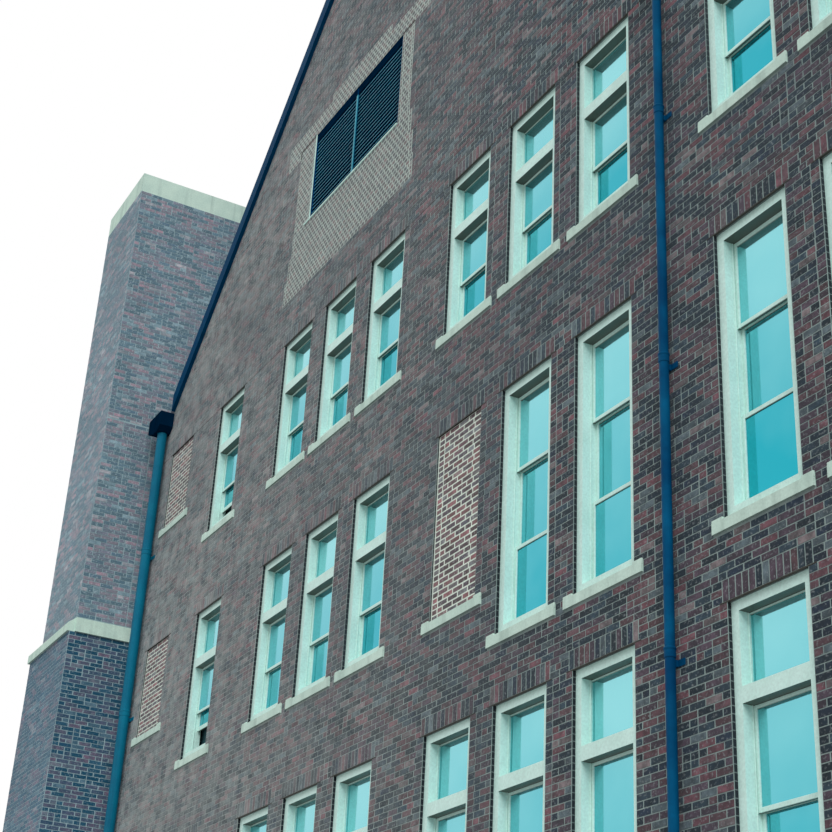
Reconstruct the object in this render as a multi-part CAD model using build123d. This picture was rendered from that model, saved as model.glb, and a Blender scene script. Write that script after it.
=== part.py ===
from build123d import *

import os
from collections import namedtuple
from math import cos, radians, tan

# A four-storey brick school with a twin-gabled front and a chimney stack at its left front corner.
# X runs along the front with 0 between the gables, Y runs into the building, Z is up from the ground.

# Driving dimensions, in millimetres
COURSE = 69
STOREY = 53 * COURSE
GABLE_WIDTH = 15600
BUILDING_DEPTH = 15000
WALL = 450
ROOF_PITCH = 43.9
GABLE_APEX = 311 * COURSE
SHOULDER = 14380
ROOF_DEPTH = 200

OPENING_WIDTH = 1010
OPENING_HEIGHT = 34 * COURSE
TRIPLET_PITCH = 1465
GROUND_SILL = 13 * COURSE
GROUND_HEAD = 40 * COURSE
TOP_ROW_SILL_RAISE = COURSE
TALL_WINDOW_DROP = 8 * COURSE
BLIND_SILL_RAISE = 12 * COURSE

FIRST_COLUMN = 1165
SINGLE_COLUMN = 11830
BLIND_COLUMN = 14070
SIDE_COLUMNS = (-3660, 3660)

FRAME_FACE = 95
FRAME_SETBACK = 40
FRAME_DEPTH = 205
TRANSOM_DROP = 750
TOP_ROW_TRANSOM_DROP = 715
TRANSOM_HEIGHT = 145
GLASS_SETBACK = 165
GLASS = 12

SILL_HEIGHT = 115
SILL_OVERLAP = 145
SILL_PROJECTION = 25
SILL_FALL = 8
BLIND_SETBACK = 20
BLIND_DEPTH = 300

FLOOR_SILL_HEIGHT = 845
FLOOR_DEPTH = 300
GROUND_FLOOR_TOP = 150
ATTIC_FLOOR_DEPTH = 180

DOOR_WIDTH = 1860
DOOR_HEAD = 2600
DOOR_LEAF = 60

LOUVRE_WIDTH = 2980
LOUVRE_SILL = 229 * COURSE
LOUVRE_HEAD = 253 * COURSE
LOUVRE_FRAME = 30
LOUVRE_SETBACK = 5
LOUVRE_FRAME_DEPTH = 200
LOUVRE_HEAD_RAIL = 130
LOUVRE_HEAD_SETBACK = 25
MULLION_DEPTH = 20
BLADE_COUNT = 20
BLADE_THICKNESS = 15
BLADE_ANGLE = 40

SHAFT_WIDTH = 1990
SHAFT_PROJECTION = 1010
SHAFT_DEPTH = 2500
SHAFT_STEP = 330
SHAFT_STEP_FRONT = 90
CHIMNEY_WALL = 340
BAND_BOTTOM = 152 * COURSE
BAND_HEIGHT = 150
BAND_WEATHERING = 100
BAND_LIP = 40
COPING_BOTTOM = 285 * COURSE
COPING_HEIGHT = 420
CAP_HEIGHT = 110
CAP_INSET = 260

VERGE_PROJECTION = 70
VERGE_HEIGHT = 240
VERGE_FOOT = 14780
VALLEY_HEAD_WIDTH = 500
GUTTER_HEIGHT = 270
GUTTER_METAL = 12
VALLEY_HALF_WIDTH = 420
VALLEY_SPOUT = 120
RIDGE_HALF_WIDTH = 260
RIDGE_THICKNESS = 40

MIDDLE_PIPE = 95
MIDDLE_PIPE_X = -40
CORNER_PIPE = 175
CORNER_PIPE_INSET = 620
PIPE_GAP = 30
PIPE_FOOT = 120
LOWEST_BRACKET = 200
BRACKET_SPACING = 2910
BRACKET_COUNT = 5
BRACKET_HEIGHT = 60
BRACKET_WIDTH = 50
BRACKET_PLATE = 12
EAR_WIDTH = 70
CORNER_HEAD = (14780, 15380)
HEAD_PROJECTION = 260
HEAD_TAPER = 100
VALLEY_HEAD_BOTTOM = 13900

# Dimensions that follow from them
HALF_FRONT = GABLE_WIDTH
HALF_DEPTH = BUILDING_DEPTH / 2
GABLE_CENTRE = GABLE_WIDTH / 2
ROOF_FOOT = GABLE_WIDTH - WALL
SLOPE = tan(radians(ROOF_PITCH))
EAVES = GABLE_APEX - GABLE_CENTRE * SLOPE
ROOF_RISE = ROOF_DEPTH / cos(radians(ROOF_PITCH))
NEAR_COLUMNS = [FIRST_COLUMN + n * TRIPLET_PITCH for n in range(3)]
MIDDLE_COLUMNS = [GABLE_CENTRE + n * TRIPLET_PITCH for n in (-1, 0, 1)]
STOREY_NAMES = ("ground", "first", "second", "third")

Opening = namedtuple("Opening", "x sill head width")

FRONT = Location((0, -HALF_DEPTH, 0))
BACK = Location((0, HALF_DEPTH, 0), (0, 0, 180))
LEFT = Location((-HALF_FRONT, 0, 0), (0, 0, -90))
RIGHT = Location((HALF_FRONT, 0, 0), (0, 0, 90))


def block(x, y, z):
    """Upright block between the low and high ends of each range."""
    corner = (x[0], y[0], z[0])
    size = (x[1] - x[0], y[1] - y[0], z[1] - z[0])
    return Pos(corner) * Box(*size, align=Align.MIN)


def prism(outline, y):
    """Closed outline in x and z, carried along y between the two ends of its range."""
    plane = Plane((0, y[1], 0), x_dir=(1, 0, 0), z_dir=(0, -1, 0))
    face = make_face(plane * Polyline(outline, close=True))
    return extrude(face, amount=y[1] - y[0], dir=(0, -1, 0))


def rail(profile, x):
    """Closed profile in y and z, carried along x between the two ends of its range."""
    face = make_face(Plane.YZ * Polyline(profile, close=True))
    return Pos(x[0], 0, 0) * extrude(face, amount=x[1] - x[0], dir=(1, 0, 0))


def write(name, *solids):
    """Each node is one file of one or more solids."""
    export_step(Compound(children=list(solids)), f"parts/{name}.step")


def rake(x):
    """Height of the gabled walls' sloping edge at a distance x from the middle of the building."""
    return EAVES + (GABLE_CENTRE - abs(x - GABLE_CENTRE)) * SLOPE


def head_of(storey):
    """Height of the window heads of one storey above the ground."""
    return GROUND_HEAD + storey * STOREY


def sill_of(storey):
    """Height of the window sills of one storey above the ground."""
    if storey == 0:
        return GROUND_SILL
    if storey == 3:
        return head_of(3) - OPENING_HEIGHT + TOP_ROW_SILL_RAISE
    return head_of(storey) - OPENING_HEIGHT


def floor_top(storey):
    """Height of a floor's walking surface above the ground."""
    if storey == 0:
        return GROUND_FLOOR_TOP
    return head_of(storey) - OPENING_HEIGHT - FLOOR_SILL_HEIGHT


def window(column, storey, drop=0):
    return Opening(column, sill_of(storey) - drop, head_of(storey), OPENING_WIDTH)


def front_windows(storey):
    """Glazed openings of one storey over half a front, by distance from the middle of the building."""
    near = [window(column, storey) for column in NEAR_COLUMNS]
    if storey == 2:
        near = [window(column, storey, TALL_WINDOW_DROP) for column in NEAR_COLUMNS[:2]]
    rest = [window(column, storey) for column in MIDDLE_COLUMNS + [SINGLE_COLUMN]]
    return near + rest


def blind_openings(storey):
    """Bricked-up openings of one storey over half a front; those of the outer column are short."""
    blind = [window(BLIND_COLUMN, storey, -BLIND_SILL_RAISE)]
    if storey == 2:
        blind.append(window(NEAR_COLUMNS[2], storey))
    return blind


def side_windows(storey):
    return [window(column, storey) for column in SIDE_COLUMNS]


def mirrored(openings):
    return [item._replace(x=-item.x) for item in openings]


def every_storey(row):
    """All openings that a row function gives, storey by storey."""
    return [item for storey in range(4) for item in row(storey)]


def across(item, margin=0):
    """Range in x of an opening, widened by a margin on each side."""
    return (item.x - item.width / 2 - margin, item.x + item.width / 2 + margin)


def holes(openings):
    """Cutters that take window and door openings out of a wall."""
    return [block(across(item), (-1, WALL + 1), (item.sill, item.head)) for item in openings]


def gable_wall(openings):
    """Gabled wall of one half of the front, at positive x, with its openings cut through."""
    outline = [
        (0, 0),
        (GABLE_WIDTH, 0),
        (GABLE_WIDTH, SHOULDER),
        (ROOF_FOOT, SHOULDER),
        (ROOF_FOOT, rake(ROOF_FOOT)),
        (GABLE_CENTRE, GABLE_APEX),
        (0, EAVES),
    ]
    return prism(outline, (0, WALL)) - holes(openings)


def side_wall(openings):
    """Eaves wall between the gabled walls, with a flat top that carries the gutter."""
    return block((WALL - HALF_DEPTH, HALF_DEPTH - WALL), (0, WALL), (0, SHOULDER)) - holes(openings)


def window_frame(item):
    """Plain box frame that lines an opening."""
    ring = block(across(item), (FRAME_SETBACK, FRAME_SETBACK + FRAME_DEPTH), (item.sill, item.head))
    light = (item.sill + FRAME_FACE, item.head - FRAME_FACE)
    return ring - block(across(item, -FRAME_FACE), (0, WALL), light)


def barred_frame(item):
    """Box frame with the deep bar that parts a fanlight from the sashes below it."""
    top = item.head - (TOP_ROW_TRANSOM_DROP if item.head == head_of(3) else TRANSOM_DROP)
    bar = block(across(item, -FRAME_FACE), (FRAME_SETBACK, GLASS_SETBACK), (top - TRANSOM_HEIGHT, top))
    return window_frame(item) + bar


def front_frame(item):
    """Frame of a front window: the tall ones have no bar."""
    if item.head - item.sill > OPENING_HEIGHT:
        return window_frame(item)
    return barred_frame(item)


def window_glass(item):
    """Sheet of glass that fills one frame behind its bar."""
    height = (item.sill + FRAME_FACE, item.head - FRAME_FACE)
    return block(across(item, -FRAME_FACE), (GLASS_SETBACK, GLASS_SETBACK + GLASS), height)


def stone_sill(item):
    """Weathered nose of a stone sill on the wall face, wider than the opening above it."""
    top = item.sill
    drip = top - SILL_HEIGHT
    profile = [(-SILL_PROJECTION, drip), (0, drip), (0, top), (-SILL_PROJECTION, top - SILL_FALL)]
    return rail(profile, across(item, SILL_OVERLAP))


def through_sill(item):
    """Stone sill whose body lies through the wall, under the frame, behind its weathered nose."""
    return stone_sill(item) + block(across(item), (0, WALL), (item.sill - SILL_HEIGHT, item.sill))


def with_sill_bed(openings):
    """Openings taken down by the height of the stone sills that lie in them."""
    return [item._replace(sill=item.sill - SILL_HEIGHT) for item in openings]


def blind_panel(item):
    """Brick infill that closes a former window a little behind the wall face."""
    return block(across(item), (BLIND_SETBACK, BLIND_SETBACK + BLIND_DEPTH), (item.sill, item.head))


def louvre(centre):
    """Framed vent of slanted blades behind a slim middle bar, high in a gable."""
    opening = Opening(centre, LOUVRE_SILL, LOUVRE_HEAD, LOUVRE_WIDTH)
    depth = (LOUVRE_SETBACK, LOUVRE_SETBACK + LOUVRE_FRAME_DEPTH)
    sides = across(opening, -LOUVRE_FRAME)
    blades_low = LOUVRE_SILL + LOUVRE_FRAME
    blades_high = LOUVRE_HEAD - LOUVRE_HEAD_RAIL
    vent = block(across(opening), depth, (LOUVRE_SILL, LOUVRE_HEAD))
    vent -= block(sides, (0, WALL), (blades_low, blades_high))
    vent -= block(sides, (0, LOUVRE_HEAD_SETBACK), (blades_low, LOUVRE_HEAD - LOUVRE_FRAME))
    mullion = (centre - LOUVRE_FRAME / 2, centre + LOUVRE_FRAME / 2)
    mullion_height = (blades_low, LOUVRE_HEAD - LOUVRE_FRAME)
    vent += block(mullion, (LOUVRE_SETBACK, LOUVRE_SETBACK + MULLION_DEPTH), mullion_height)
    pitch = (blades_high - blades_low) / BLADE_COUNT
    low = LOUVRE_SETBACK + MULLION_DEPTH
    high = low + pitch / tan(radians(BLADE_ANGLE))
    for number in range(BLADE_COUNT):
        z = blades_low + number * pitch + BLADE_THICKNESS
        lip = z + BLADE_THICKNESS
        vent += rail([(low, z), (high, z + pitch), (high, lip + pitch), (low, lip)], sides)
    return vent


def roof_slope(ridge_x, foot_x):
    """One slope of a roof, lying on the gabled walls from its ridge down to its foot."""
    lower = [(ridge_x, GABLE_APEX), (foot_x, rake(abs(foot_x)))]
    upper = [(x, z + ROOF_RISE) for x, z in reversed(lower)]
    return prism(lower + upper, (-HALF_DEPTH, HALF_DEPTH))


def ridge_cap(ridge_x):
    """Folded cap over the meeting of two slopes."""
    top = GABLE_APEX + ROOF_RISE
    drop = RIDGE_HALF_WIDTH * SLOPE
    outline = [
        (ridge_x, top),
        (ridge_x + RIDGE_HALF_WIDTH, top - drop),
        (ridge_x + RIDGE_HALF_WIDTH, top - drop + RIDGE_THICKNESS),
        (ridge_x, top + RIDGE_THICKNESS),
        (ridge_x - RIDGE_HALF_WIDTH, top - drop + RIDGE_THICKNESS),
        (ridge_x - RIDGE_HALF_WIDTH, top - drop),
    ]
    return prism(outline, (-HALF_DEPTH, HALF_DEPTH))


def verge():
    """Metal-clad boards that follow the right gable's edge on the outer face of the front wall."""
    upper = [(x, rake(x) + ROOF_RISE) for x in (VALLEY_HEAD_WIDTH / 2, GABLE_CENTRE, VERGE_FOOT)]
    rise = VERGE_HEIGHT / cos(radians(ROOF_PITCH))
    lower = [(x, z - rise) for x, z in reversed(upper)]
    return FRONT * prism(upper + lower, (-VERGE_PROJECTION, 0))


def eaves_gutter():
    """Deep metal box gutter on the head of a side wall, between the wall face and the roof's foot."""
    top = SHOULDER + GUTTER_HEIGHT
    length = (-HALF_DEPTH, HALF_DEPTH)
    inside = (GUTTER_METAL, WALL - GUTTER_METAL)
    trough = block(length, inside, (SHOULDER + GUTTER_METAL, top + 1))
    return block(length, (0, WALL), (SHOULDER, top)) - trough


def valley_gutter():
    """Metal-lined trough where the two inner slopes meet."""
    edge = EAVES + ROOF_RISE + VALLEY_HALF_WIDTH * SLOPE
    floor = EAVES + ROOF_RISE + VALLEY_HALF_WIDTH * SLOPE / 2
    outline = [
        (0, EAVES + ROOF_RISE),
        (VALLEY_HALF_WIDTH, edge),
        (VALLEY_HALF_WIDTH, edge + GUTTER_METAL),
        (VALLEY_HALF_WIDTH / 2, floor + GUTTER_METAL),
        (-VALLEY_HALF_WIDTH / 2, floor + GUTTER_METAL),
        (-VALLEY_HALF_WIDTH, edge + GUTTER_METAL),
        (-VALLEY_HALF_WIDTH, edge),
    ]
    return prism(outline, (-HALF_DEPTH - VALLEY_SPOUT, HALF_DEPTH))


def pipe_bracket(x, z, centre, reach):
    """Wall bracket of a pipe: a plate with two ears and an arm that reaches into the pipe."""
    height = (z, z + BRACKET_HEIGHT)
    arm = block((x - BRACKET_WIDTH / 2, x + BRACKET_WIDTH / 2), (centre, 0), height)
    return arm + block((x - reach, x + reach), (-BRACKET_PLATE, 0), height)


def downspout(x, diameter, top):
    """Round rainwater pipe held a little off the wall by its brackets."""
    centre = -(PIPE_GAP + diameter / 2)
    upright = (Align.CENTER, Align.CENTER, Align.MIN)
    pipe = Pos(x, centre, PIPE_FOOT) * Cylinder(diameter / 2, top - PIPE_FOOT, align=upright)
    for number in range(BRACKET_COUNT):
        z = LOWEST_BRACKET + number * BRACKET_SPACING
        pipe += pipe_bracket(x, z, centre, diameter / 2 + EAR_WIDTH)
    return pipe


def rainwater_head(sides, height, outlet, diameter):
    """Box, open at its top and to the wall behind it, that takes a gutter's water and tapers to its pipe."""
    outline = [
        (sides[0], height[1]),
        (sides[0], height[0]),
        (outlet - diameter / 2, height[0] - HEAD_TAPER),
        (outlet + diameter / 2, height[0] - HEAD_TAPER),
        (sides[1], height[0]),
        (sides[1], height[1]),
    ]
    inside = (sides[0] + GUTTER_METAL, sides[1] - GUTTER_METAL)
    hollow = block(inside, (GUTTER_METAL - HEAD_PROJECTION, 1), (height[0], height[1] + 1))
    return prism(outline, (-HEAD_PROJECTION, 0)) - hollow


def flue():
    """Shaft of smoke through the whole stack."""
    left = -HALF_FRONT - SHAFT_WIDTH + CHIMNEY_WALL
    front = -HALF_DEPTH - SHAFT_PROJECTION + CHIMNEY_WALL
    back = front + SHAFT_DEPTH - 2 * CHIMNEY_WALL
    return block((left, -HALF_FRONT - CHIMNEY_WALL), (front, back), (-1, GABLE_APEX))


def stack(left, front, back, z):
    """One length of the chimney stack, solid, against the side of the building."""
    return block((left, -HALF_FRONT), (front, back), z)


def weathering(low, high, z):
    """Sloping shoulder from one plan outline up to a smaller one; each is left, front and back."""
    sections = []
    for (left, front, back), height in zip((low, high), z):
        plan = Pos((left - HALF_FRONT) / 2, (front + back) / 2, height)
        sections.append(plan * Rectangle(-HALF_FRONT - left, back - front))
    return loft(sections, ruled=True)


def write_walls():
    front = with_sill_bed(every_storey(front_windows)) + every_storey(blind_openings)
    vent = Opening(GABLE_CENTRE, LOUVRE_SILL, LOUVRE_HEAD, LOUVRE_WIDTH)
    right_half = gable_wall(front + [vent])
    write("front_wall_right", FRONT * right_half)
    write("front_wall_left", mirror(FRONT * right_half, Plane.YZ))
    plain_half = gable_wall(every_storey(front_windows))
    write("back_wall_left", BACK * plain_half)
    write("back_wall_right", mirror(BACK * plain_half, Plane.YZ))
    door = Opening(0, GROUND_FLOOR_TOP, DOOR_HEAD, DOOR_WIDTH)
    write("left_side_wall", LEFT * side_wall(every_storey(side_windows)))
    write("right_side_wall", RIGHT * side_wall(every_storey(side_windows) + [door]))


def write_floors():
    inside = ((WALL - HALF_FRONT, HALF_FRONT - WALL), (WALL - HALF_DEPTH, HALF_DEPTH - WALL))
    write("ground_floor", block(*inside, (0, GROUND_FLOOR_TOP)))
    for storey in (1, 2, 3):
        top = floor_top(storey)
        write(f"{STOREY_NAMES[storey]}_floor", block(*inside, (top - FLOOR_DEPTH, top)))
    write("attic_floor", block(*inside, (EAVES - ATTIC_FLOOR_DEPTH, EAVES)))


def write_roof():
    for side, name in ((-1, "left"), (1, "right")):
        ridge = side * GABLE_CENTRE
        write(f"roof_{name}_outer", roof_slope(ridge, side * ROOF_FOOT))
        write(f"roof_{name}_inner", roof_slope(ridge, 0))
    write("ridge_caps", ridge_cap(-GABLE_CENTRE), ridge_cap(GABLE_CENTRE))
    front = [verge(), mirror(verge(), Plane.YZ)]
    write("front_verge", *front)
    write("back_verge", *[mirror(board, Plane.XZ) for board in front])
    write("valley_gutter", valley_gutter())
    write("left_gutter", LEFT * eaves_gutter())
    write("right_gutter", RIGHT * eaves_gutter())


def write_windows():
    for storey, name in enumerate(STOREY_NAMES):
        half = front_windows(storey)
        row = half + mirrored(half)
        write(f"front_windows_{name}", *[FRONT * front_frame(item) for item in row])
    fronts = every_storey(front_windows)
    fronts += mirrored(fronts)
    write("front_glass", *[FRONT * window_glass(item) for item in fronts])
    write("back_windows", *[BACK * window_frame(item) for item in fronts])
    write("back_glass", *[BACK * window_glass(item) for item in fronts])
    sides = [(place, item) for place in (LEFT, RIGHT) for item in every_storey(side_windows)]
    write("side_windows", *[place * window_frame(item) for place, item in sides])
    write("side_glass", *[place * window_glass(item) for place, item in sides])


def write_sills():
    glazed = every_storey(front_windows)
    glazed += mirrored(glazed)
    blind = every_storey(blind_openings)
    blind += mirrored(blind)
    front = [through_sill(item) for item in glazed] + [stone_sill(item) for item in blind]
    write("front_sills", *[FRONT * sill for sill in front])
    write("back_sills", *[BACK * stone_sill(item) for item in glazed])
    sides = every_storey(side_windows)
    write("side_sills", *[place * stone_sill(item) for place in (LEFT, RIGHT) for item in sides])


def write_front_details():
    blind = every_storey(blind_openings)
    write("bricked_up_windows", *[FRONT * blind_panel(item) for item in blind + mirrored(blind)])
    write("louvre_left", FRONT * louvre(-GABLE_CENTRE))
    write("louvre_right", FRONT * louvre(GABLE_CENTRE))
    door = Opening(0, GROUND_FLOOR_TOP, DOOR_HEAD, DOOR_WIDTH)
    leaves = block(across(door), (GLASS_SETBACK, GLASS_SETBACK + DOOR_LEAF), (door.sill, door.head))
    write("side_doors", RIGHT * leaves)


def write_rainwater_pipes():
    corner = HALF_FRONT - CORNER_PIPE_INSET
    corner_top = SHOULDER - HEAD_TAPER
    right_pipe = downspout(corner, CORNER_PIPE, corner_top)
    right_head = rainwater_head(CORNER_HEAD, (SHOULDER, SHOULDER + GUTTER_HEIGHT), corner, CORNER_PIPE)
    write("right_downspout", FRONT * right_pipe)
    write("left_downspout", mirror(FRONT * right_pipe, Plane.YZ))
    middle_top = VALLEY_HEAD_BOTTOM - HEAD_TAPER
    write("middle_downspout", FRONT * downspout(MIDDLE_PIPE_X, MIDDLE_PIPE, middle_top))
    sides = (-VALLEY_HEAD_WIDTH / 2, VALLEY_HEAD_WIDTH / 2)
    height = (VALLEY_HEAD_BOTTOM, rake(0) + ROOF_RISE)
    middle_head = rainwater_head(sides, height, MIDDLE_PIPE_X, MIDDLE_PIPE)
    heads = [middle_head, right_head, mirror(right_head, Plane.YZ)]
    write("rainwater_heads", *[FRONT * head for head in heads])


def write_chimney():
    front = -HALF_DEPTH - SHAFT_PROJECTION
    upper = (-HALF_FRONT - SHAFT_WIDTH, front, front + SHAFT_DEPTH)
    lower = (upper[0] - SHAFT_STEP, upper[1] - SHAFT_STEP_FRONT, upper[2] + SHAFT_STEP_FRONT)
    lipped = (lower[0] - BAND_LIP, lower[1] - BAND_LIP, lower[2] + BAND_LIP)
    shelf = BAND_BOTTOM + BAND_HEIGHT
    band_top = shelf + BAND_WEATHERING
    coping_top = COPING_BOTTOM + COPING_HEIGHT
    write("chimney_base", stack(*lower, (0, BAND_BOTTOM)) - flue())
    band = stack(*lipped, (BAND_BOTTOM, shelf)) + weathering(lipped, upper, (shelf, band_top)) - flue()
    band += block((-HALF_FRONT, -HALF_FRONT + BAND_LIP), (upper[1], -HALF_DEPTH), (BAND_BOTTOM, band_top))
    write("chimney_band", band)
    write("chimney_shaft", stack(*upper, (band_top, COPING_BOTTOM)) - flue())
    cap = block(
        (upper[0] + CAP_INSET, -HALF_FRONT - CAP_INSET),
        (upper[1] + CAP_INSET, upper[2] - CAP_INSET),
        (coping_top, coping_top + CAP_HEIGHT),
    )
    write("chimney_coping", stack(*upper, (COPING_BOTTOM, coping_top)) + cap - flue())


os.makedirs("parts", exist_ok=True)
write_walls()
write_floors()
write_roof()
write_windows()
write_sills()
write_front_details()
write_rainwater_pipes()
write_chimney()
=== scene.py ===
"""Looks of a four-storey brick school with a twin-gabled front and a corner chimney stack.

Lengths are metres. X runs along the front with 0 between the gables, Y runs into the building
and Z is up from the ground. On a face, u runs along it to the right as seen from outside,
v runs up it and w is the distance out from it.
"""

import logging
import math
from collections.abc import Callable, Iterable
from dataclasses import dataclass, field, replace
from enum import Enum
from itertools import product

import bpy
import numpy as np
from mathutils import Matrix


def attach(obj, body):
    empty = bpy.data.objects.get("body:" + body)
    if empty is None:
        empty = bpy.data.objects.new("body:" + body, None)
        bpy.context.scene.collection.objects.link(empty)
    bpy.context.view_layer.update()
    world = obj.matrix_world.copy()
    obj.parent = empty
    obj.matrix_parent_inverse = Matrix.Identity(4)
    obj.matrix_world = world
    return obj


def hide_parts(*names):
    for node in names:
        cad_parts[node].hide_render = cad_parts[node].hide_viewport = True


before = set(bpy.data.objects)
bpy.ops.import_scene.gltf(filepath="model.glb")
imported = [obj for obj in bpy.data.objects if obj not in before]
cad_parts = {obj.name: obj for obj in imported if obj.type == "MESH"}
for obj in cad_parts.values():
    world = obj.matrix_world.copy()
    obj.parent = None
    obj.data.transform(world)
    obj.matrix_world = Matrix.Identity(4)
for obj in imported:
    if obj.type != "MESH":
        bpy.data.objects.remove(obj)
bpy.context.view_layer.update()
LOG = logging.getLogger("school")

Array = np.ndarray
Random = np.random.Generator
Socket = bpy.types.NodeSocket
Colour = tuple[float, float, float, float]
Shown = tuple[int, int, int]
Point = tuple[float, float, float]


def linear(red: int, green: int, blue: int) -> Colour:
    """A colour written in eight-bit display values, as the linear colour that a shader takes.

    A value c above 0.04 becomes ((c + 0.055) / 1.055) to the power 2.4.
    """
    shown = np.array([red, green, blue]) / 255
    light = np.where(shown > 0.04, ((shown + 0.055) / 1.055) ** 2.4, shown / 12.92)
    return (*light.tolist(), 1.0)


@dataclass(frozen=True)
class Face:
    """A plane that pieces are laid out on: a wall, a side of the stack or a roof slope.

    A local point (u, v, w) lies at origin + u * along + v * up + w * (along x up).
    """

    origin: Point
    along: Point
    up: Point = (0.0, 0.0, 1.0)

    def place(self, local: Array) -> Array:
        """Local points of any array shape as points in the building's frame."""
        along, up = np.array(self.along), np.array(self.up)
        return np.array(self.origin) + local @ np.stack([along, up, np.cross(along, up)])


@dataclass(frozen=True)
class Opening:
    """A rectangle on a wall, by its middle, bottom, top and width."""

    middle: float
    sill: float
    head: float
    width: float = 1.01

    @property
    def left(self) -> float:
        """Left edge as seen from outside."""
        return self.middle - self.width / 2

    @property
    def right(self) -> float:
        """Right edge as seen from outside."""
        return self.middle + self.width / 2

    @property
    def tall(self) -> bool:
        """Whether this is one of the tall openings beside the middle of the building."""
        return self.head - self.sill > 2.5

    @staticmethod
    def between(left: float, right: float, bottom: float, top: float) -> "Opening":
        """The rectangle between two edges and two heights."""
        return Opening((left + right) / 2, bottom, top, right - left)


# Sizes that the looks share with the building
COURSE = 0.069
PITCH = 0.2226
STOREY = 53 * COURSE
HALF_FRONT = 15.6
HALF_DEPTH = 7.5
WALL = 0.45
ROOF_FOOT = 15.15
EAVES = 13.9528
SLOPE = 0.96232
GABLE_CENTRE = 7.8
APEX = 21.459
ROOF_RISE = 0.2776
SHOULDER = 14.38
GUTTER_TOP = 14.65

# Heads and sills of the four storeys' windows, and the middles of their columns
HEADS = tuple(2.76 + storey * STOREY for storey in range(4))
SILLS = (0.897, HEADS[1] - 2.346, HEADS[2] - 2.346, HEADS[3] - 2.277)
NEAR = (1.165, 2.63, 4.095)
MIDDLE = (6.335, 7.8, 9.265)
SINGLE = 11.83
BLIND = 14.07
SIDE = (-3.66, 3.66)
TALL_SILL_DROP = 0.552
BLIND_SILL_RAISE = 12 * COURSE
SILL_HEIGHT = 0.115
SILL_OVERLAP = 0.145

# A casing's width, its bar and where its sashes meet, by storey and as drops below the head
FRAME_FACE = 0.095
BAR_DROPS = (0.75, 0.75, 0.75, 0.715)
BAR_HEIGHT = 0.145
MEETING_DROPS = (1.33, 1.75, 1.594, 1.525)
RAISED_SASHES = {2: 0.37, 3: 0.28}

LOUVRE = Opening.between(6.31, 9.29, 15.801, 17.457)
SIDE_DOOR = Opening.between(-0.93, 0.93, 0.15, 2.6)

FRONT_FACE = Face((0.0, -HALF_DEPTH, 0.0), (1.0, 0.0, 0.0))
BACK_FACE = Face((0.0, HALF_DEPTH, 0.0), (-1.0, 0.0, 0.0))
LEFT_FACE = Face((-HALF_FRONT, 0.0, 0.0), (0.0, -1.0, 0.0))
RIGHT_FACE = Face((HALF_FRONT, 0.0, 0.0), (0.0, 1.0, 0.0))

# Where bricks and sheets on a face begin, a little inside it, and a place past every wall
INTO_WALL = -0.002
NOWHERE = 99.0


def front_openings() -> list[Opening]:
    """Glazed openings of the half of the front at positive X, lowest storey first."""
    found = []
    for storey, (sill, head) in enumerate(zip(SILLS, HEADS)):
        near = [Opening(middle, sill, head) for middle in NEAR]
        if storey == 2:
            near = [replace(opening, sill=sill - TALL_SILL_DROP) for opening in near[:2]]
        found += near + [Opening(middle, sill, head) for middle in (*MIDDLE, SINGLE)]
    return found


def blind_openings() -> list[Opening]:
    """Bricked-up openings of the half of the front at positive X."""
    found = [Opening(BLIND, sill + BLIND_SILL_RAISE, head) for sill, head in zip(SILLS, HEADS)]
    return found + [Opening(NEAR[2], SILLS[2], HEADS[2])]


def side_openings() -> list[Opening]:
    """Glazed openings of one side wall."""
    return [Opening(middle, sill, head) for sill, head in zip(SILLS, HEADS) for middle in SIDE]


def mirrored(openings: list[Opening]) -> list[Opening]:
    """The same openings on the half at negative X."""
    return [replace(opening, middle=-opening.middle) for opening in openings]


def raised_sash(opening: Opening) -> float:
    """How far a lower sash of the front stands open: two of the left end's do."""
    return RAISED_SASHES.get(HEADS.index(opening.head), 0.0) if opening.middle == -SINGLE else 0.0


BOX_POINTS = 8
CHAMFERED_BOX_POINTS = 24
BOX_SIDES = np.array([(0, 3, 2, 1), (4, 5, 6, 7), (0, 1, 5, 4), (1, 2, 6, 5), (2, 3, 7, 6), (3, 0, 4, 7)])
RECTANGLE = np.array([(0, 0), (1, 0), (1, 1), (0, 1)])


def corners_of(*parts: Array | float) -> Array:
    """A corner of each box, one row a box, from its u, v and w as one number or one number a box."""
    return np.column_stack(np.broadcast_arrays(*parts))


def tapered_boxes(low: Array, high: Array, taper: float = 0.0, fall: float = 0.0) -> tuple[Array, Array]:
    """Closed boxes whose outer end is smaller than the inner end.

    The outer end's four corners are the inner end's moved in by the taper, and its upper edge
    lies lower than its lower edge by the fall, as a slate's does.

    Args:
        low: least u, v and w of each box, one row a box.
        high: greatest u, v and w of each box.
        taper: how far each side of the outer end is moved in.
        fall: how much nearer to the face the outer end's upper edge lies.

    Returns:
        The points, eight a box, and the faces, six a box.
    """
    low, high = np.atleast_2d(low), np.atleast_2d(high)
    inner = low[:, None, :2] + (high - low)[:, None, :2] * RECTANGLE
    outer = low[:, None, :2] + taper + ((high - low)[:, None, :2] - 2 * taper) * RECTANGLE
    depth = np.broadcast_to(low[:, None, 2:], (len(low), 4, 1))
    reach = high[:, None, 2:] - fall * RECTANGLE[:, 1:]
    points = np.concatenate([np.dstack([inner, depth]), np.dstack([outer, reach])], axis=1)
    faces = np.arange(len(low))[:, None, None] * BOX_POINTS + BOX_SIDES
    return points.reshape(-1, 3), faces.reshape(-1, 4)


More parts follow.
